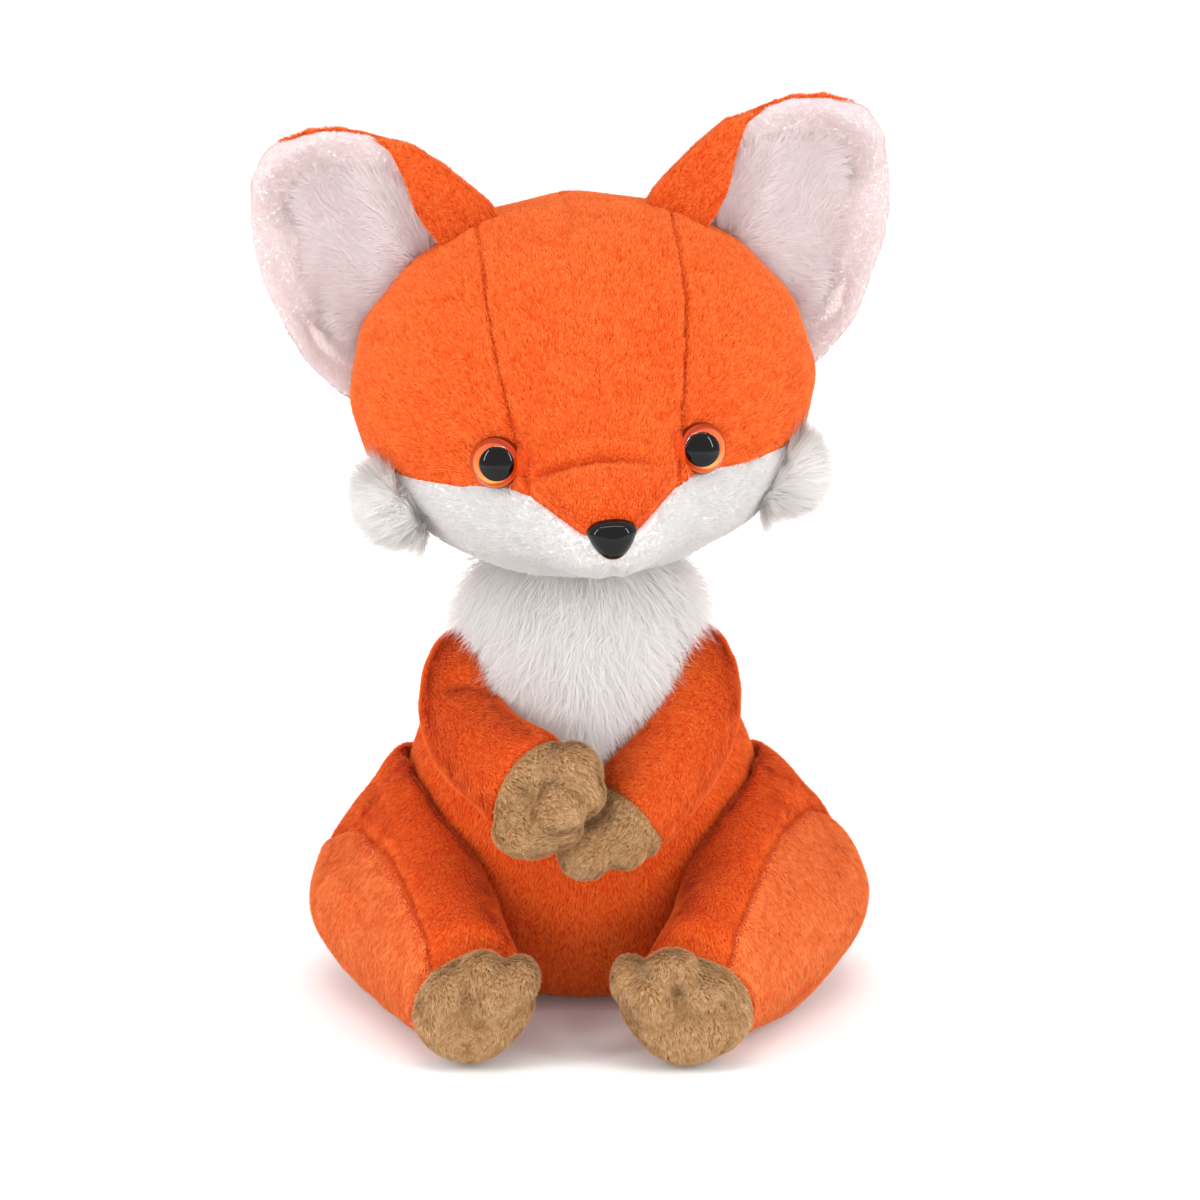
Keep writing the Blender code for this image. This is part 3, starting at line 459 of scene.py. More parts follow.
EAR_FUR = dict(per_mm2=14.0, steps=3, length=0.0085, width=0.00028, up=0.24, lay=0.82, uneven=0.28,
               wander=0.45, swirl=0.009, fray=0.30, tuft=0.0024, gather=0.30, soft=0.85)

ORANGE_PILE = pile_material("orange_sheared_plush", "#C23204", "#FF8228", "#FFC47A", "#E8560C",
                            "#FFB070", 0.6)
TAN_PILE = pile_material("tan_curled_plush", "#7E4E24", "#DCB078", "#FFEFCE", "#B6864E", "#FFE0B8", 0.8)
WHITE_PILE = pile_material("white_brushed_plush", "#D8D5D4", "#E4E3E2", "#F0EFEE", "#DAD8D7", "#FFFFFF")
WHITE_FUR = pile_material("white_long_pile_fur", "#E6E3E1", "#F0EEEC", "#F8F7F6", "#E8E5E3", "#FFFFFF")
# White plush of the ears, painted pinker and greyer: painted shade in the ear's hollow and painted light
# thrown back from the orange fur
EAR_PILE_PAINTED_BOUNCE_SHADE = pile_material("white_brushed_plush_painted_bounce_shade", "#E2CCCC", "#ECE4E4", "#F6F3F3", "#E6D6D6", "#FFFFFF")
# The orange and tan cloth are set darker than their pile: a painted shade down among the roots
ORANGE_CLOTH = backing_material("orange_knitted_backing", "#D24A16", "#A8300A")
TAN_CLOTH = backing_material("tan_knitted_backing", "#BE9058", "#A07240")
WHITE_CLOTH = backing_material("white_knitted_backing", "#F4F0EE", "#E4DCD8")


# Torso


SIDE_SEAM_Y = 0.006
# The bib is a triangle that stands on its point
BIB_POINT_Z, BIB_HEIGHT, BIB_HALF_WIDTH, BIB_BACK_Y = 0.093, 0.060, 0.039, -0.0235


def make_torso():
    """Belly, back and bib on one stuffed form."""
    names = ("torso_front", "torso_back", "bib_panel", "torso_stuffing", "pellet_pouch")
    points, quads = closed_skin(names, 0.0016, reach=0.0058)
    normals = surface_normals(points, quads)
    x, y, z = points.T
    side_seam = dent(y - SIDE_SEAM_Y, 0.0026) * rise(z, 0.0, 0.02)
    lumps = drift(points, 0.034, 5)[:, 0] * 0.0009
    points = points + normals * (lumps - 0.0010 - 0.0016 * side_seam)[:, None]
    points[:, 2] = np.maximum(points[:, 2], FLOOR_GAP)
    middle = points[quads].mean(axis=1)
    half = BIB_HALF_WIDTH * np.clip((middle[:, 2] - BIB_POINT_Z) / BIB_HEIGHT, 0, 1)
    bib = ((middle[:, 1] < BIB_BACK_Y) & (np.abs(middle[:, 0]) < half + 0.0005)
           & (middle[:, 2] > BIB_POINT_Z))
    labels = np.where(bib, 2, np.where(middle[:, 1] < SIDE_SEAM_Y, 0, 1))
    skins = panels_of(points, quads, labels)
    comb = laid(0, 0, -1.0, fan=4)

    def caught(root):
        return 1 - 0.5 * dent(root[:, 1] - SIDE_SEAM_Y, 0.002)

    def ruff_trim(root):
        return 0.62 + 0.38 * rise(root[:, 2], 0.098, 0.130)

    dress("torso_front", "body", skins[0], ORANGE_CLOTH, ORANGE_PILE, ALONG_NAP_PAINTED_SHADE, comb,
          ("torso_stuffing", "pellet_pouch"), caught)
    dress("torso_back", "body", skins[1], ORANGE_CLOTH, ORANGE_PILE, NAP, comb, (), caught)
    dress("bib_panel", "body", skins[2], WHITE_CLOTH, WHITE_FUR, RUFF,
          laid(0, -0.25, -1.0, fan=28), (), ruff_trim)


# Head


def in_head(points):
    """Points in the head's own frame."""
    return (points - np.array(HEAD_CENTRE)) @ np.array(HEAD_TURN)


def head_labels(local):
    """Which panel each place of the head belongs to: crown 0, left 1, right 2 or face 3."""
    x, y, z = local.T
    seam = np.array(FACE_SEAM)
    face = (z < np.interp(np.abs(x), seam[:, 0], seam[:, 1])) & (y < FACE_BACK_Y)
    crown_line = np.array(CROWN_SEAM[::-1])
    crown = (np.abs(x) < np.interp(z, crown_line[:, 1], crown_line[:, 0])) & (z > CROWN_SEAM[-1][1])
    return np.where(face, 3, np.where(crown, 0, np.where(x > 0, 1, 2)))


def head_seams(local):
    """Distance of each place from the nearest seam, as seen from the front."""
    x, y, z = local.T
    front = np.stack([np.abs(x), z], axis=1)
    crown = near_line(front, CROWN_SEAM)
    face = np.where(y < FACE_BACK_Y + 0.004, near_line(front, FACE_SEAM[1:]), 1.0)
    behind = np.where((z < -0.016) & (y > FACE_BACK_Y - 0.006), np.abs(y - FACE_BACK_Y), 1.0)
    nape = np.where((z < CROWN_SEAM[-1][1]) & (y > FACE_BACK_Y), np.abs(x), 1.0)
    return crown, face, np.minimum(behind, nape)


# Folds that arch over the bridge of the muzzle: a sharp crease and a soft valley, with a roll between them
MUZZLE_CREASE = ((-0.0254, -0.0140), (-0.0211, -0.0125), (-0.0167, -0.0107), (-0.0091, -0.0078),
                 (-0.0025, -0.0067), (0.0059, -0.0072), (0.0126, -0.0088), (0.0174, -0.0112))
MUZZLE_VALLEY = ((-0.0237, -0.0080), (-0.0160, -0.0042), (-0.0076, -0.0012), (0.0017, -0.0004),
                 (0.0108, -0.0023), (0.0182, -0.0068), (0.0221, -0.0119))


def make_head():
    """Crown, cheeks and face, with the muzzle's folds, on one stuffed form."""
    names = ("head_gusset", "head_side_left", "head_side_right", "face_panel", "head_stuffing")
    points, quads = closed_skin(names, 0.0012, reach=0.0052)
    normals = surface_normals(points, quads)
    local = in_head(points)
    x, y, z = local.T
    crown, face, rest = head_seams(local)
    front = y < -0.02
    roll = tuple((a[0], (a[1] + b[1]) / 2) for a, b in zip(MUZZLE_CREASE[1:], MUZZLE_VALLEY))
    flat = np.stack([x, z], axis=1)
    fading = rise(x, -0.025, -0.018) * (1 - rise(x, 0.012, 0.020)) * front
    fold = (0.0036 * dent(near_line(flat, MUZZLE_CREASE), 0.0017)
            + 0.0022 * dent(near_line(flat, MUZZLE_VALLEY), 0.0026)
            - 0.0014 * dent(near_line(flat, roll), 0.0026)) * fading
    swell = dent(np.linalg.norm((flat - (0, -0.0165)) / (0.016, 0.0070), axis=1), 1.0) * front
    mirrored = np.stack([np.abs(x), z], axis=1)
    cheek = dent(np.linalg.norm((mirrored - (0.036, -0.030)) / (0.022, 0.014), axis=1), 1.0) * front
    lip = dent(np.abs(x), 0.0016) * rise(-z, 0.034, 0.037) * rise(z, -0.052, -0.044) * (y < -0.05)
    dart = dent(np.abs(x + 0.002), 0.0022) * rise(z, 0.052, 0.060) * (y < 0.01)
    lumps = drift(points, 0.030, 11)[:, 0] * 0.0008
    seam_depth = 0.0017 - 0.0010 * rise(z, 0.040, 0.056)
    depth = (lumps - 0.0008 - seam_depth * dent(crown, 0.0011) - 0.0012 * dent(face, 0.0014)
             - 0.0012 * dent(rest, 0.0016) - fold + 0.0022 * swell + 0.0024 * cheek
             - 0.0016 * lip - 0.0012 * dart)
    for side in SIDES.values():
        socket = np.linalg.norm(local - np.array((side * 0.0304, -0.070, -0.0092)), axis=1)
        depth -= 0.0016 * dent(socket, 0.0085)
    points = points + normals * depth[:, None]
    labels = head_labels(in_head(points[quads].mean(axis=1)))
    skins = panels_of(points, quads, labels)

    def comb(root, normal):
        place = in_head(root)
        away = place - NOSE_TIP * (1, 0.85, 1)
        away[:, 2] += 0.02
        return away @ np.array(HEAD_TURN).T

    def caught(root):
        crown, face, rest = head_seams(in_head(root))
        place = in_head(root)
        bridge = np.linalg.norm(place - NOSE_TIP, axis=1)
        seams = np.minimum(np.minimum(crown, face), rest)
        chin = 1 + 0.7 * rise(-place[:, 2], 0.036, 0.050)
        return (1 - 0.75 * dent(seams, 0.0008)) * (0.60 + 0.40 * rise(bridge, 0.01, 0.045)) * chin

    def face_comb(root, normal):
        place = in_head(root)
        away = place - NOSE_TIP * (1, 0.9, 1)
        away[:, 2] = away[:, 2] * 1.3 - 0.006
        return away @ np.array(HEAD_TURN).T

    washers = ("eye_washer_left", "eye_washer_right", "nose_washer")
    crown_covers = ("head_stuffing",) + washers
    panels = (("head_gusset", crown_covers), ("head_side_left", ()), ("head_side_right", ()))
    for label, (node, covers) in enumerate(panels):
        dress(node, "head", skins[label], ORANGE_CLOTH, ORANGE_PILE, NAP, comb, covers, caught)
    dress("face_panel", "head", skins[3], WHITE_CLOTH, WHITE_PILE, FACE_PILE, face_comb, (), caught)


TUFT_INSET = {"left": -0.0024, "right": 0.0}  # how far each tuft sits out from its plain place


def make_cheek_tufts():
    """Long fur at the ends of the face seam."""
    for side, sign in SIDES.items():
        points, quads = closed_skin((f"cheek_tuft_{side}",), 0.0014, reach=0.0028)
        normals = surface_normals(points, quads)
        points = points - normals * 0.0042 + np.array(HEAD_TURN) @ (sign * TUFT_INSET[side], 0, -0.0010)
        dress(f"cheek_tuft_{side}", "head", (points, normals, quads), WHITE_CLOTH, WHITE_FUR, TUFT_FUR,
              laid(sign * 1.0, 0, 0.2))


# Ears


# Outline of an ear: outwards and up in the head's frame, as every flat place of the ears is
EAR_RIM = ((0.046, 0.030), (0.050, 0.062), (0.057, 0.082), (0.066, 0.0895), (0.083, 0.092), (0.099, 0.083),
           (0.1025, 0.065), (0.099, 0.040), (0.090, 0.016), (0.074, 0.000))
# The line along which the ear is sewn to the head, and the way that the ear stands from it
EAR_BASE = (0.030, 0.061)
EAR_WAY = (0.771, 0.636)


def ear_shape(places):
    """How far the padded ear stands forward at each place, given outwards and up in the head's frame."""
    edge = near_line(places, EAR_RIM)
    pad = 0.0016 * dent(edge - 0.0050, 0.0042)
    hollow = 0.0038 * rise(edge, 0.004, 0.024)
    dimple = 0.0030 * dent(np.linalg.norm((places - (0.0923, 0.0647)) / (0.0048, 0.0075), axis=1), 1.0)
    slit = 0.0030 * dent(np.linalg.norm((places - (0.0817, 0.0290)) / (0.0034, 0.0090), axis=1), 1.0)
    return pad - hollow - dimple - slit


def rooted(places):
    """How far the sewn edge of the ear runs on into the head, outwards and up."""
    beyond = (places - EAR_BASE) @ np.array(EAR_WAY)
    return -np.array(EAR_WAY) * (0.0090 * (1 - rise(beyond, 0.0, 0.018)))[:, None]


# The inner edge of the ear is folded forward over the lining: the fold's free edge, then its outer one
EAR_FLAP = ((0.0400, 0.0440), (0.0465, 0.0545), (0.0500, 0.0618), (0.0527, 0.0722), (0.0572, 0.0830),
            (0.0700, 0.0905))
EAR_FOLD = ((0.0650, 0.0880), (0.0500, 0.0838), (0.0390, 0.0755), (0.0315, 0.0680), (0.0290, 0.0600),
            (0.0320, 0.0500))
EAR_FUR_PATCH = ((0.0551, 0.0710), (0.0700, 0.0745), (0.0823, 0.0745), (0.0857, 0.0675), (0.0818, 0.0544),
                 (0.0829, 0.0401), (0.0779, 0.0326), (0.0715, 0.0230), (0.0660, 0.0160), (0.0540, 0.0290),
                 (0.0440, 0.0420), (0.0470, 0.0560))
# How far in front of the ear's middle the flap's sheet starts, how it sinks towards its tip, and its back
FLAP_FRONT, FLAP_TIP, FLAP_SLOPE, FLAP_BACK = -0.0115, 0.053, 0.45, 0.0010


def flap_edge(heights):
    """How far out the folded edge stands at each height, in the head's frame."""
    line = np.array(EAR_FLAP)
    return np.interp(heights, line[:, 1], line[:, 0])


def ear_flap_mesh(sign):
    """The folded inner edge of an ear as a thick sheet in front of the ear's own."""
    build = bmesh.new()
    outline = list(EAR_FLAP) + list(EAR_FOLD)
    sheet = [(sign * x, FLAP_FRONT + FLAP_SLOPE * max(0, x - FLAP_TIP), z) for x, z in outline]
    verts = [build.verts.new(place) for place in sheet]
    face = build.faces.new(verts)
    deep = bmesh.ops.extrude_face_region(build, geom=[face])
    for item in deep["geom"]:
        if isinstance(item, bmesh.types.BMVert):
            item.co.y = FLAP_BACK
    bmesh.ops.recalc_face_normals(build, faces=build.faces)
    build.transform(HEAD_POSE)
    mesh = bpy.data.meshes.new("ear_flap")
    build.to_mesh(mesh)
    build.free()
    return mesh


def inside(places, outline):
    """Whether each flat place lies within an outline."""
    x, z = places.T
    within = np.zeros(len(places), bool)
    for (x0, z0), (x1, z1) in zip(outline, outline[1:] + outline[:1]):
        crossing = ((z0 > z) != (z1 > z)) & (x < (x1 - x0) * (z - z0) / (z1 - z0 + 1e-12) + x0)
        within ^= crossing
    return within


def make_ears():
    """Backs that fold forward over the inner edge, linings, and the fur sewn on them."""
    turn = np.array(HEAD_TURN)
    forward = turn @ np.array((0, -1.0, 0))
    for side, sign in SIDES.items():
        body = f"ear_{side}"
        up_and_out = laid(sign * 0.6, 0, 0.8)

        def flat(points, sign=sign):
            local = in_head(points)
            return np.stack([sign * local[:, 0], local[:, 2]], axis=1)

        def feathered(root, normal, sign=sign):
            places = flat(root) - (0.045, 0.048)
            return np.stack([sign * places[:, 0], np.zeros(len(root)), places[:, 1] + 0.006], axis=1)

        def edge_trim(root):
            places = flat(root)
            outer = rise(places[:, 0] - 0.3 * places[:, 1], 0.064, 0.070)
            folded = dent(near_line(places, EAR_FLAP), 0.0014)
            return 1 - 0.55 * outer * dent(near_line(places, EAR_RIM), 0.0045) - 0.4 * folded * (1 - outer)

        def moved(points, push, places):
            """Points pushed forwards, and outwards and up as seen from the front."""
            aside = np.stack([sign * places[:, 0], -push, places[:, 1]], axis=1)
            return points + aside @ turn.T

        points, quads = closed_skin((f"ear_back_{side}",), 0.0010, [ear_flap_mesh(sign)], reach=0.0020)
        places = flat(points)
        inner = 1 - rise(places[:, 0] - flap_edge(places[:, 1]), -0.002, 0.001)
        points = moved(points, ear_shape(places) * (1 - inner), rooted(places))
        points = points - surface_normals(points, quads) * 0.0005
        normals = even_normals(points, quads)
        dress(f"ear_back_{side}", body, (points, normals, quads), ORANGE_CLOTH, ORANGE_PILE,
              NAP, up_and_out, (), edge_trim)

        points, quads = closed_skin((f"ear_lining_{side}", f"ear_fur_{side}"), 0.0010, reach=0.0022)
        places = flat(points)
        outer = rise(places[:, 0] - 0.3 * places[:, 1], 0.060, 0.070)
        outer *= dent(near_line(places, EAR_RIM), 0.0060)
        outer *= 0.3 + 0.7 * rise(places[:, 1], 0.028, 0.045)
        away = unit(places - (0.073, 0.048)) * (0.0024 * outer)[:, None]
        creases = 0.0006 * drift(points, 0.013, 51)[:, 0]
        points = moved(points, ear_shape(places) + creases, away + rooted(places))
        middle = flat(points[quads].mean(axis=1))
        furry = inside(middle, EAR_FUR_PATCH) & (surface_normals(points, quads)[quads[:, 0]] @ forward > 0.2)
        skins = panels_of(points, quads, furry.astype(int))
        dress(f"ear_lining_{side}", body, skins[0], WHITE_CLOTH, EAR_PILE_PAINTED_BOUNCE_SHADE, VELOUR, up_and_out, ())
        dress(f"ear_fur_{side}", body, skins[1], WHITE_CLOTH, EAR_PILE_PAINTED_BOUNCE_SHADE, EAR_FUR, feathered, ())


# Arms and paws


# Toes, each by its middle and its half width, depth and height
PAW_TOES = {
    "right": (((-0.0078, -0.0925, 0.0850), (0.0098, 0.0092, 0.0096)),
              ((-0.0160, -0.0845, 0.0752), (0.0120, 0.0110, 0.0090)),
              ((-0.0030, -0.0820, 0.0930), (0.0100, 0.0100, 0.0096)),
              ((-0.0005, -0.0830, 0.0868), (0.0085, 0.0092, 0.0085)),
              ((-0.0080, -0.0845, 0.0768), (0.0085, 0.0090, 0.0080))),
    "left": (((0.0015, -0.0768, 0.0645), (0.0090, 0.0088, 0.0088)),
             ((0.0135, -0.0735, 0.0680), (0.0090, 0.0092, 0.0095))),
}
# Hidden stitches that hold the paws in, each by its place, width and depth
PAW_PINCHES = {
    "right": (((-0.0173, -0.0920, 0.0886), 0.0050, 0.0045), ((-0.0173, -0.0920, 0.0886), 0.0016, 0.0020)),
    "left": (((-0.0072, -0.0800, 0.0637), 0.0030, 0.0030),),
}
CUFFS = {  # a point of the cuff, and the way that the hand points
    "right": ((-0.0161, -0.0749, 0.0868), (0.019, -0.017, -0.009)),
    "left": ((0.0148, -0.0652, 0.0747), (-0.017, -0.011, -0.015)),
}


# A fold inside the bent elbow, seen from the front
ELBOW_FOLD = ((-0.0430, 0.1140), (-0.0395, 0.1153), (-0.0350, 0.1154), (-0.0310, 0.1138), (-0.0285, 0.1112))


def pinched(points, normals, pinches):
    """Presses a skin in where a hidden stitch holds it, by place, width and depth."""
    push = np.zeros(len(points))
    for centre, radius, depth in pinches:
        push += depth * dent(np.linalg.norm(points - np.array(centre), axis=1), radius)
    return points - normals * push[:, None]


def with_toes(points, quads, toes, voxel):
    """Joins rounded toes to a form, which keeps the deep creases between them."""
    forms = [quick_mesh("form", points, quads)]
    for middle, half in toes:
        build = bmesh.new()
        bmesh.ops.create_uvsphere(build, u_segments=40, v_segments=24, radius=1)
        build.transform(Matrix.Translation(middle) @ Matrix.Diagonal(half).to_4x4())
        ball = bpy.data.meshes.new("toe")
        build.to_mesh(ball)
        build.free()
        forms.append(ball)
    points, quads = closed_skin((), voxel, forms)
    gaps = [(np.linalg.norm((points - middle) / half, axis=1) - 1) * min(half) for middle, half in toes]
    plain = rise(np.min(gaps, axis=0), 0.001, 0.006)[:, None]
    soft, sharp = rounded(points, quads, 0.0045, voxel), rounded(points, quads, 0.0013, voxel)
    return soft * plain + sharp * (1 - plain), quads


def make_arms():
    """Sleeves and paws, one form each side, with toes that are joined on before the pile."""
    for side, sign in SIDES.items():
        body = f"arm_{side}"
        names = (f"sleeve_{side}", f"paw_{side}", f"arm_stuffing_{side}")
        points, quads = closed_skin(names, 0.0011, reach=0.0030)
        cuff, run = np.array(CUFFS[side][0]), unit(np.array(CUFFS[side][1:]))[0]
        hand = rise((points - cuff) @ run, 0.000, 0.008)
        points = points - surface_normals(points, quads) * (0.0026 * hand)[:, None]
        points, quads = with_toes(points, quads, PAW_TOES[side], 0.0010)
        normals = surface_normals(points, quads)
        past = (points - cuff) @ run
        depth = -0.0006 - 0.0012 * dent(past, 0.0014) + 0.0007 * drift(points, 0.018, 21)[:, 0]
        if side == "right":
            depth -= 0.0022 * dent(near_line(points[:, [0, 2]], ELBOW_FOLD), 0.0016) * (points[:, 1] < -0.035)
        points = pinched(points + normals * depth[:, None], normals, PAW_PINCHES[side])
        middle = points[quads].mean(axis=1)
        labels = ((middle - cuff) @ run > 0).astype(int)
        skins = panels_of(points, quads, labels)
        comb = laid(*run)

        def caught(root, cuff=cuff, run=run):
            return 1 - 0.5 * dent((root - cuff) @ run, 0.0015)

        dress(f"sleeve_{side}", body, skins[0], ORANGE_CLOTH, ORANGE_PILE, ALONG_NAP_PAINTED_SHADE, comb,
              (f"arm_stuffing_{side}",), caught)
        dress(f"paw_{side}", body, skins[1], TAN_CLOTH, TAN_PILE, CURLY, comb, (), caught)


# Legs and feet


# The planes that part the leg's panels and the foot, on the left side
LEG_SEAM_POINT = (0.070, -0.044, 0.0)
LEG_SEAM_NORMAL = (0.917, -0.396, 0.066)
ANKLE_POINT = (0.0335, -0.088, 0.0)
ANKLE_NORMAL = (-0.24, -0.97, 0.0)
FOOT_TOES = {
    "right": (((-0.0309, -0.0980, 0.0330), (0.0073, 0.0085, 0.0064)),
              ((-0.0278, -0.1030, 0.0265), (0.0083, 0.0092, 0.0088)),
              ((-0.0190, -0.0960, 0.0290), (0.0068, 0.0090, 0.0082)),
              ((-0.0412, -0.0995, 0.0238), (0.0096, 0.0086, 0.0102))),
    "left": (((0.0290, -0.0980, 0.0340), (0.0090, 0.0085, 0.0064)),
             ((0.0156, -0.0945, 0.0280), (0.0068, 0.0092, 0.0092)),
             ((0.0228, -0.1035, 0.0255), (0.0081, 0.0092, 0.0084)),
             ((0.0375, -0.1020, 0.0262), (0.0072, 0.0080, 0.0052))),
}
FOOT_PINCHES = {
    "right": (((-0.0348, -0.1070, 0.0268), 0.0022, 0.0034), ((-0.0340, -0.1070, 0.0240), 0.0020, 0.0026),
              ((-0.0312, -0.1050, 0.0175), 0.0030, 0.0024)),
    "left": (((0.0303, -0.1050, 0.0290), 0.0022, 0.0030), ((0.0303, -0.1050, 0.0262), 0.0020, 0.0024)),
}
# The sole's own seam, seen from the front
SOLE_SEAM = ((0.0435, 0.0255), (0.0462, 0.0215), (0.0473, 0.0165), (0.0468, 0.0100), (0.0450, 0.0040))
FOOT_MIDDLE = 0.0344
FOOT_WIDENING = {"left": 1.14, "right": 1.03}


def shaped_foot(points, side, sign, share):
    """Lowers and widens the plain foot, sets its upper half back under the toes and lifts its inner edge."""
    x, y, z = points.T
    across = sign * x - FOOT_MIDDLE
    inner = np.clip(-across / 0.020, 0, 1)
    low = rise(0.026 - z, 0.0, 0.022)
    wide = across * FOOT_WIDENING[side] + 0.005 * inner * low
    back = y + 0.0012 + 0.0040 * rise(z, 0.016, 0.027)
    shaped = np.stack([sign * (FOOT_MIDDLE + wide), back, z * 0.875], axis=1)
    return points + (shaped - points) * share[:, None]


def make_legs():
    """Outer and inner panels and feet, one form each side."""
    for side, sign in SIDES.items():
        body = f"leg_{side}"
        names = [f"{part}_{side}" for part in ("leg_outer", "leg_inner", "foot", "leg_stuffing")]
        points, quads = closed_skin(names, 0.0013, reach=0.0038)
        normals = surface_normals(points, quads)
        mirror = np.array((sign, 1, 1))
        seam_point, seam_normal = np.array(LEG_SEAM_POINT) * mirror, np.array(LEG_SEAM_NORMAL) * mirror
        ankle_point, ankle_normal = np.array(ANKLE_POINT) * mirror, np.array(ANKLE_NORMAL) * mirror

        def cuts(places):
            return (places - seam_point) @ seam_normal, (places - ankle_point) @ ankle_normal

        ankle = cuts(points)[1]
        # The haunch runs straight down from the hip to its widest place, and in again to the floor
        front = points[:, [0, 2]] * (sign, 1)
        shoulder = dent(np.linalg.norm((front - (0.086, 0.064)) / (0.028, 0.028), axis=1), 1)
        under = dent(np.linalg.norm((front - (0.092, 0.010)) / (0.020, 0.012), axis=1), 1)
        haunch = (-0.0062 * shoulder - 0.0040 * under) * rise(front[:, 0], 0.050, 0.074)
        points = points + normals * haunch[:, None]
        points = shaped_foot(points, side, sign, rise(ankle, -0.004, 0.004))
        points, quads = with_toes(points, quads, FOOT_TOES[side], 0.0012)
        normals = surface_normals(points, quads)
        seam, ankle = cuts(points)
        behind = rise(-ankle, -0.001, 0.002) * (1 - 0.5 * rise(points[:, 2], 0.060, 0.080))
        sole = dent(near_line(points[:, [0, 2]], SOLE_SEAM), 0.0011) * (side == "left")
        depth = (-0.0006 - 0.0024 * dent(seam, 0.0012) * behind - 0.0014 * dent(ankle, 0.0014)
                 - 0.0010 * rise(ankle, 0.0, 0.003) - 0.0016 * sole * rise(ankle, 0.0, 0.004)
                 + 0.0009 * drift(points, 0.026, 31)[:, 0])
        points = pinched(points + normals * depth[:, None], normals, FOOT_PINCHES[side])
        points[:, 2] = np.maximum(points[:, 2], FLOOR_GAP)
        seam, ankle = cuts(points[quads].mean(axis=1))
        labels = np.where(ankle > 0, 2, np.where(seam > 0, 0, 1))
        skins = panels_of(points, quads, labels)
        comb = laid(0, -0.5, -0.8, fan=3)

        def caught(root, cuts=cuts):
            seam, ankle = cuts(root)
            return 1 - 0.85 * dent(np.minimum(np.abs(seam) + (ankle > 0), np.abs(ankle)), 0.0012)

        dress(f"leg_outer_{side}", body, skins[0], ORANGE_CLOTH, ORANGE_PILE, AGAINST_NAP_PAINTED_LIT, comb,
              (f"leg_stuffing_{side}",), caught)
        dress(f"leg_inner_{side}", body, skins[1], ORANGE_CLOTH, ORANGE_PILE, ALONG_NAP_PAINTED_SHADE, comb, (), caught)
        dress(f"foot_{side}", body, skins[2], TAN_CLOTH, TAN_PILE, CURLY, comb, (), caught)


# Tail


TAIL_ROOT, TAIL_LENGTH = 0.053, 0.112
TAIL_SEAM = 0.66  # share of the length where the white tip starts


def make_tail():
    """Sleeve and tip on one form, out of sight in the photograph."""
    points, quads = closed_skin(("tail_sleeve", "tail_tip", "tail_stuffing"), 0.0014, reach=0.0038)
    normals = surface_normals(points, quads)
    seam_y = TAIL_ROOT + TAIL_SEAM * TAIL_LENGTH
    depth = -0.0009 - 0.0013 * dent(points[:, 1] - seam_y, 0.0020) + 0.0008 * drift(points, 0.022, 41)[:, 0]
    points = points + normals * depth[:, None]
    points[:, 2] = np.maximum(points[:, 2], FLOOR_GAP)
    labels = (points[quads].mean(axis=1)[:, 1] > seam_y).astype(int)
    skins = panels_of(points, quads, labels)
    comb = laid(0, 1.0, -0.1)
    bushy = {**NAP, "length": 0.0034}
    dress("tail_sleeve", "tail", skins[0], ORANGE_CLOTH, ORANGE_PILE, bushy, comb, ("tail_stuffing",))
    dress("tail_tip", "tail", skins[1], WHITE_CLOTH, WHITE_PILE, FACE_PILE, comb)


# Eyes and nose


def turned_mesh(name, profile, frame_matrix, faces=48):
    """A profile of radius and height points turned round its own upright axis."""
    build = bmesh.new()
    verts = [build.verts.new((radius, 0, height)) for radius, height in profile]
    edges = [build.edges.new(pair) for pair in zip(verts, verts[1:])]
    bmesh.ops.spin(build, geom=verts + edges, cent=(0, 0, 0), axis=(0, 0, 1), angle=2 * pi, steps=faces,
                   use_merge=True)
    bmesh.ops.remove_doubles(build, verts=build.verts, dist=1e-6)
    bmesh.ops.recalc_face_normals(build, faces=build.faces)
    radii = [vert.co.to_2d().length for vert in build.verts]
    low, high = min(radii), max(radii)
    around = build.loops.layers.uv.new("OFBake")
    for face in build.faces:
        middle = face.calc_center_median()
        turn = (pi / 2 + np.arctan2(middle.y, middle.x)) / (2 * pi) % 1
        for corner in face.loops:
            corner[around].uv = (turn, (corner.vert.co.to_2d().length - low) / (high - low))
    build.transform(frame_matrix)
    mesh = bpy.data.meshes.new(name)
    build.to_mesh(mesh)
    build.free()
    return mesh


# How far each eye moves from the plain one, and how much it turns to the front
EYES = {"left": ((0.0004, 0, 0.0004), 0.6, 0.62), "right": ((-0.0014, 0, 0.0009), 0.9, 0.85)}
EYE_DOME = 0.0086  # radius of the dome's curve
EYE_SINK = -0.0030  # height of the middle of that curve over the seat
EYE_HEIGHT = 0.0058  # height of the dome's top over the seat


def seat_of(node):
    """The place and the direction in which a turned plastic piece faces."""
    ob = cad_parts[node]
    points = np.empty(len(ob.data.vertices) * 3)
    ob.data.vertices.foreach_get("co", points)
    points = np.unique(np.round(points.reshape(-1, 3), 6), axis=0)
    middle = points.mean(axis=0)
    facing = np.linalg.svd(points - middle)[2][2]
    facing = facing * -np.sign(facing[1])
    apex = middle + facing * ((points - middle) @ facing).max()
    return Vector(apex), Vector(facing)


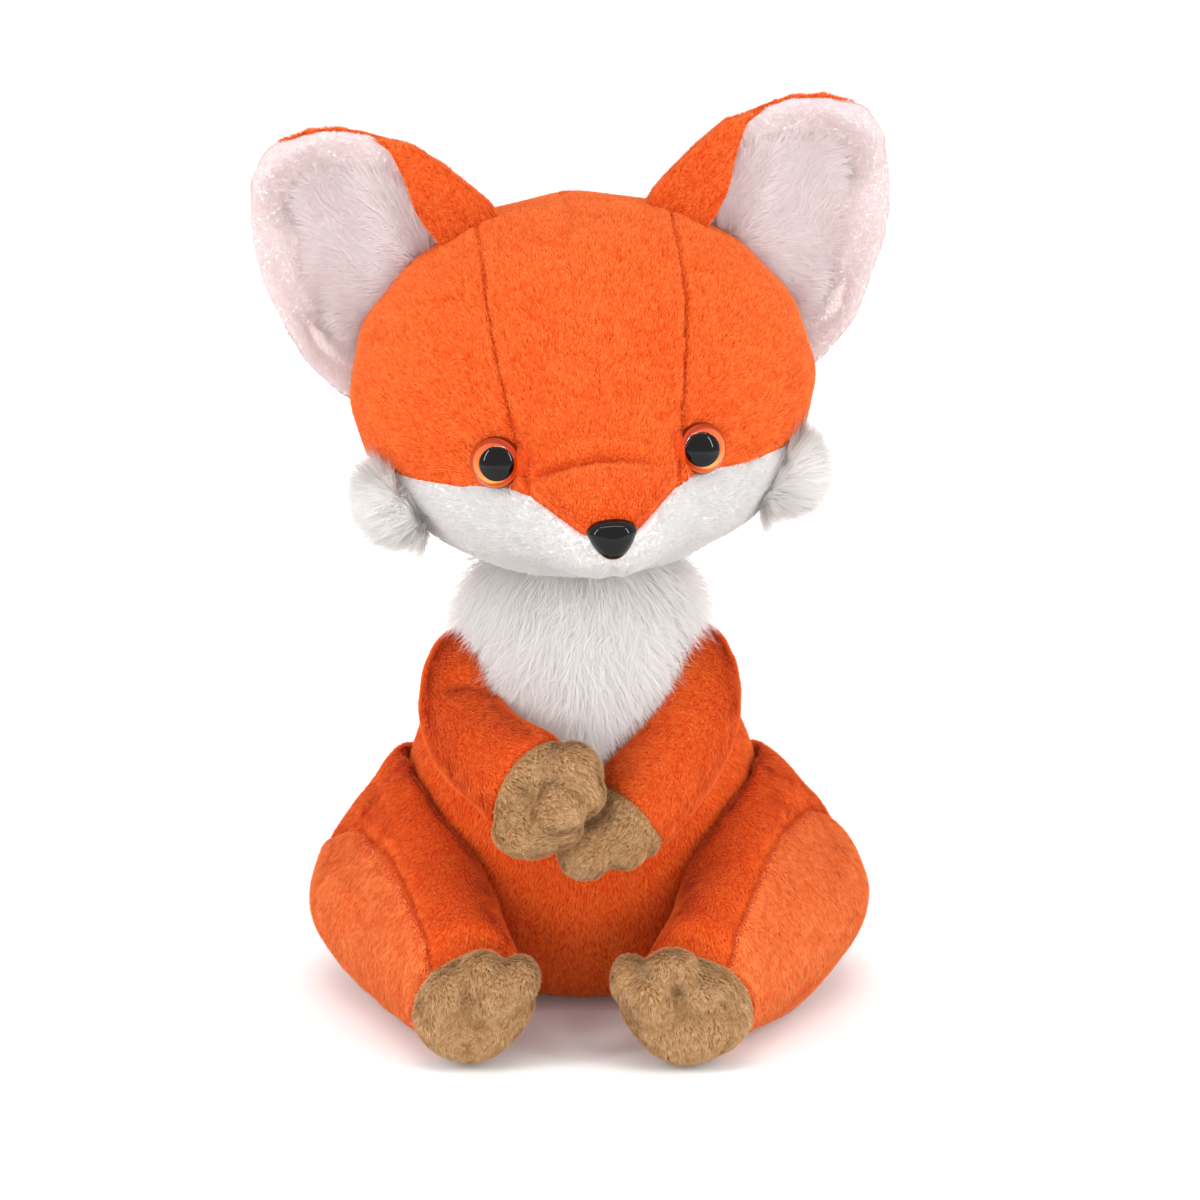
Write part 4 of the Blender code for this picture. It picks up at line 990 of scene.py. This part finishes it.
def make_eyes():
    """Amber domes with black pupils, and the black plastic for the nose too."""
    amber, tree, shader = material("amber_acrylic", Roughness=0.06, IOR=1.49)
    # Moulded acrylic over an amber iris. Out from the pupil its amber holds painted light: bright rings at
    # the pupil's edge and near the rim, and it is darker towards the rim.
    # Round the eye, a painted glow makes it brighter low down and darker at the top, where the clear dome
    # gathers light. The map runs round the eye, and from the pupil's edge out to the rim.
    place = add(tree, "ShaderNodeUVMap", {"uv_map": "OFBake"})
    split = add(tree, "ShaderNodeSeparateXYZ", inputs={0: place.outputs[0]})
    depth = add(tree, "ShaderNodeValToRGB", inputs={0: split.outputs[1]},
                stops=((0, "#FF9A28"), (0.60, "#FF9C2C"), (0.66, "#C8520E"), (0.82, "#B04208"),
                       (0.88, "#E87418"), (0.93, "#8A3206"), (1, "#5E2206")))
    # Painted light round the eye: full tone low down, darker at the top
    glow = add(tree, "ShaderNodeValToRGB", inputs={0: split.outputs[0]},
               stops=((0, "#FFFFFF"), (0.16, "#F0B090"), (0.5, "#B87858"), (0.84, "#F0B090"), (1, "#FFFFFF")))
    tint = add(tree, "ShaderNodeMix", {"data_type": "RGBA", "blend_type": "MULTIPLY"},
               {0: 1.0, 6: depth.outputs[0], 7: glow.outputs[0]})
    tree.links.new(tint.outputs[2], shader.inputs["Base Color"])
    black, _, _ = material("black_acrylic", Base_Color=linear("#050506"), Roughness=0.05, IOR=1.49,
                           Specular_IOR_Level=0.25)
    for side, (nudge, frontal, ahead) in EYES.items():
        apex, facing = seat_of(f"eye_dome_{side}")
        apex += HEAD_TURN @ Vector(nudge)
        facing = (facing + frontal * Vector((0, -1, 0.08))).normalized()
        upright = facing.to_track_quat("Z", "Y").to_matrix().to_4x4()
        seat = Matrix.Translation(apex - facing * EYE_HEIGHT) @ upright
        steps = [radians(v) for v in range(30, 71, 4)]
        ring = [(EYE_DOME * sin(a), EYE_SINK + EYE_DOME * cos(a)) for a in steps]
        ring = [(0.0030, 0.0030)] + ring + [(ring[-1][0], -0.0050), (0.0030, -0.0050)]
        iris = new_piece(f"eye_iris_{side}", turned_mesh(f"eye_iris_{side}", ring, seat), amber)
        # The pupil lies on the dome itself, and is seen a little towards the nose through it
        steps = [radians(v) for v in range(0, 42, 3)]
        disc = [((EYE_DOME + 0.00006) * sin(a), (EYE_DOME + 0.00006) * cos(a)) for a in steps]
        disc += [(disc[-1][0], disc[-1][1] - 0.0012), (0, disc[-1][1] - 0.0012)]
        gaze = facing.lerp(Vector((0, -1, 0.1)), ahead).normalized()
        middle = Matrix.Translation(apex - facing * (EYE_HEIGHT - EYE_SINK))
        pupil = new_piece(f"eye_pupil_{side}", turned_mesh(
            f"eye_pupil_{side}", disc, middle @ gaze.to_track_quat("Z", "Y").to_matrix().to_4x4()), black)
        for piece, node in ((iris, f"eye_dome_{side}"), (pupil, f"eye_pupil_{side}")):
            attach(piece, "head")
            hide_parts(node)
    return black


NOSE_MIDDLE = Vector((0.0002, -0.0990, -0.0282))
NOSE_HALF_WIDTH, NOSE_SWELL, NOSE_TALL, NOSE_DEEP, NOSE_POST = 0.0080, 0.0056, 0.0056, 0.0070, 0.0060
NOSE_SQUARENESS = 2.5  # 2 is an ellipse


def make_nose(black):
    """A flat-topped rounded triangle, moulded, that swells from the cloth."""
    build = bmesh.new()
    rings = []
    around = 64
    for step in range(0, 13):
        share = step / 12
        reach = sin(share * pi / 2)
        drop = 1 - cos(share * pi / 2) ** 0.9 if share < 1 else 1
        ring = []
        for k in range(around):
            a = 2 * pi * k / around
            total = abs(cos(a)) ** NOSE_SQUARENESS + abs(sin(a)) ** NOSE_SQUARENESS
            shape = 1 / total ** (1 / NOSE_SQUARENESS)
            px, pz = cos(a) * shape * reach, sin(a) * shape * reach
            narrow = 1 - 0.46 * max(0, 0.30 - pz) / 1.30
            tall = NOSE_TALL if pz > 0 else NOSE_DEEP
            ring.append(build.verts.new((px * narrow * NOSE_HALF_WIDTH, drop * NOSE_SWELL, pz * tall)))
        rings.append(ring)
    back = [build.verts.new(v.co + Vector((0, NOSE_POST, 0))) for v in rings[-1]]
    rings.append(back)
    for one, two in zip(rings, rings[1:]):
        for k in range(around):
            j = (k + 1) % around
            build.faces.new((one[k], one[j], two[j], two[k]))
    bmesh.ops.remove_doubles(build, verts=build.verts, dist=1e-6)
    bmesh.ops.contextual_create(build, geom=back)
    bmesh.ops.recalc_face_normals(build, faces=build.faces)
    build.transform(Matrix.Translation(HEAD_POSE @ NOSE_MIDDLE) @ HEAD_TURN.to_4x4())
    mesh = bpy.data.meshes.new("nose_moulding")
    build.to_mesh(mesh)
    build.free()
    nose = new_piece("nose_moulding", mesh, black)
    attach(nose, "head")
    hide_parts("nose")


# Stage


def lamp(name, place, aim, size, power, glossy=False):
    """A softbox. Only the narrow strips show in plastic, as the photographer's flagged boxes do."""
    data = bpy.data.lights.new(name, "AREA")
    data.shape = "RECTANGLE"
    data.size, data.size_y = size
    data.energy = power
    ob = bpy.data.objects.new(name, data)
    ob.location = place
    ob.rotation_euler = (Vector(aim) - Vector(place)).to_track_quat("-Z", "Y").to_euler()
    ob.visible_glossy = glossy
    bpy.context.scene.collection.objects.link(ob)


def shows_background(tree):
    """1 for the camera's rays and those that shiny or clear things send on, and 0 for light in the pile."""
    rays = add(tree, "ShaderNodeLightPath").outputs
    sharp = add(tree, "ShaderNodeMath", {"operation": "ADD"},
                {0: rays["Is Glossy Ray"], 1: rays["Is Transmission Ray"]})
    every = add(tree, "ShaderNodeMath", {"operation": "ADD"}, {0: rays["Is Camera Ray"], 1: sharp.outputs[0]})
    return add(tree, "ShaderNodeMath", {"operation": "SUBTRACT", "use_clamp": True},
               {0: every.outputs[0], 1: rays["Is Diffuse Ray"]}).outputs[0]


def make_stage():
    """Paper sweep, room, lamps and camera."""
    scene = bpy.context.scene
    paper, tree, shader = material("white_paper_sweep", Base_Color=linear("#F4F4F4"), Roughness=0.9)
    place = add(tree, "ShaderNodeTexCoord")
    far = add(tree, "ShaderNodeVectorMath", {"operation": "LENGTH"}, {0: place.outputs["Object"]})
    fading = add(tree, "ShaderNodeMapRange",
                 inputs={0: far.outputs["Value"], 1: 0.15, 2: 1.1, 3: 0.04, 4: 0.62})
    glow = add(tree, "ShaderNodeEmission", inputs={"Color": (1, 1, 1, 1), "Strength": fading.outputs[0]})
    lit = add(tree, "ShaderNodeAddShader", inputs={0: shader.outputs[0], 1: glow.outputs[0]})
    seen = add(tree, "ShaderNodeMixShader", inputs={0: shows_background(tree), 1: shader.outputs[0],
                                                    2: lit.outputs[0]})
    tree.links.new(seen.outputs[0], tree.nodes["Material Output"].inputs["Surface"])
    build = bmesh.new()
    bmesh.ops.create_grid(build, x_segments=1, y_segments=1, size=40)
    mesh = bpy.data.meshes.new("floor")
    build.to_mesh(mesh)
    build.free()
    floor = new_piece("floor", mesh, paper)

    world = bpy.data.worlds.new("studio")
    world.use_nodes = True
    tree = world.node_tree
    room = tree.nodes["Background"]
    room.inputs["Color"].default_value = (1, 1, 1, 1)
    room.inputs["Strength"].default_value = 0.60
    white = add(tree, "ShaderNodeBackground", inputs={"Color": (1, 1, 1, 1), "Strength": 1.0})
    both = add(tree, "ShaderNodeMixShader", inputs={0: shows_background(tree), 1: room.outputs[0],
                                                    2: white.outputs[0]})
    tree.links.new(both.outputs[0], tree.nodes["World Output"].inputs["Surface"])
    scene.world = world

    lamp("left_softbox", (-1.05, -0.50, 0.38), (0, 0, 0.10), (0.8, 0.8), 7.0)
    lamp("right_softbox", (1.05, -0.50, 0.38), (0, 0, 0.10), (0.8, 0.8), 7.0)
    lamp("top_softbox", (0.0, -0.25, 1.25), (0, 0, 0.1), (0.9, 0.9), 3.0)
    lamp("front_card", (0.0, -1.35, 0.08), (0, 0, 0.12), (1.6, 0.14), 6.2)
    lamp("back_softbox", (0.0, 1.15, 0.80), (0, 0, 0.15), (1.2, 0.5), 7.5)
    lamp("top_strip", (0.0, -0.30, 1.25), (0, -0.08, 0.2), (1.1, 0.05), 2.8, glossy=True)
    lamp("left_strip", (-0.92, -0.62, 0.80), (0, -0.08, 0.2), (0.05, 0.9), 4.6, glossy=True)
    lamp("right_strip", (0.92, -0.62, 0.80), (0, -0.08, 0.2), (0.05, 0.9), 4.6, glossy=True)

    camera = bpy.data.cameras.new("camera")
    camera.sensor_width = SENSOR
    camera.lens = CAMERA_LENS
    ob = bpy.data.objects.new("camera", camera)
    back = Vector((0, -cos(CAMERA_ELEVATION), sin(CAMERA_ELEVATION)))
    ob.location = CAMERA_AIM + back * CAMERA_DISTANCE
    ob.rotation_euler = (-back).to_track_quat("-Z", "Y").to_euler()
    scene.collection.objects.link(ob)
    scene.camera = ob
    scene.view_settings.view_transform = "Standard"


make_torso()
make_head()
make_cheek_tufts()
make_ears()
make_arms()
make_legs()
make_tail()
make_nose(make_eyes())
make_stage()
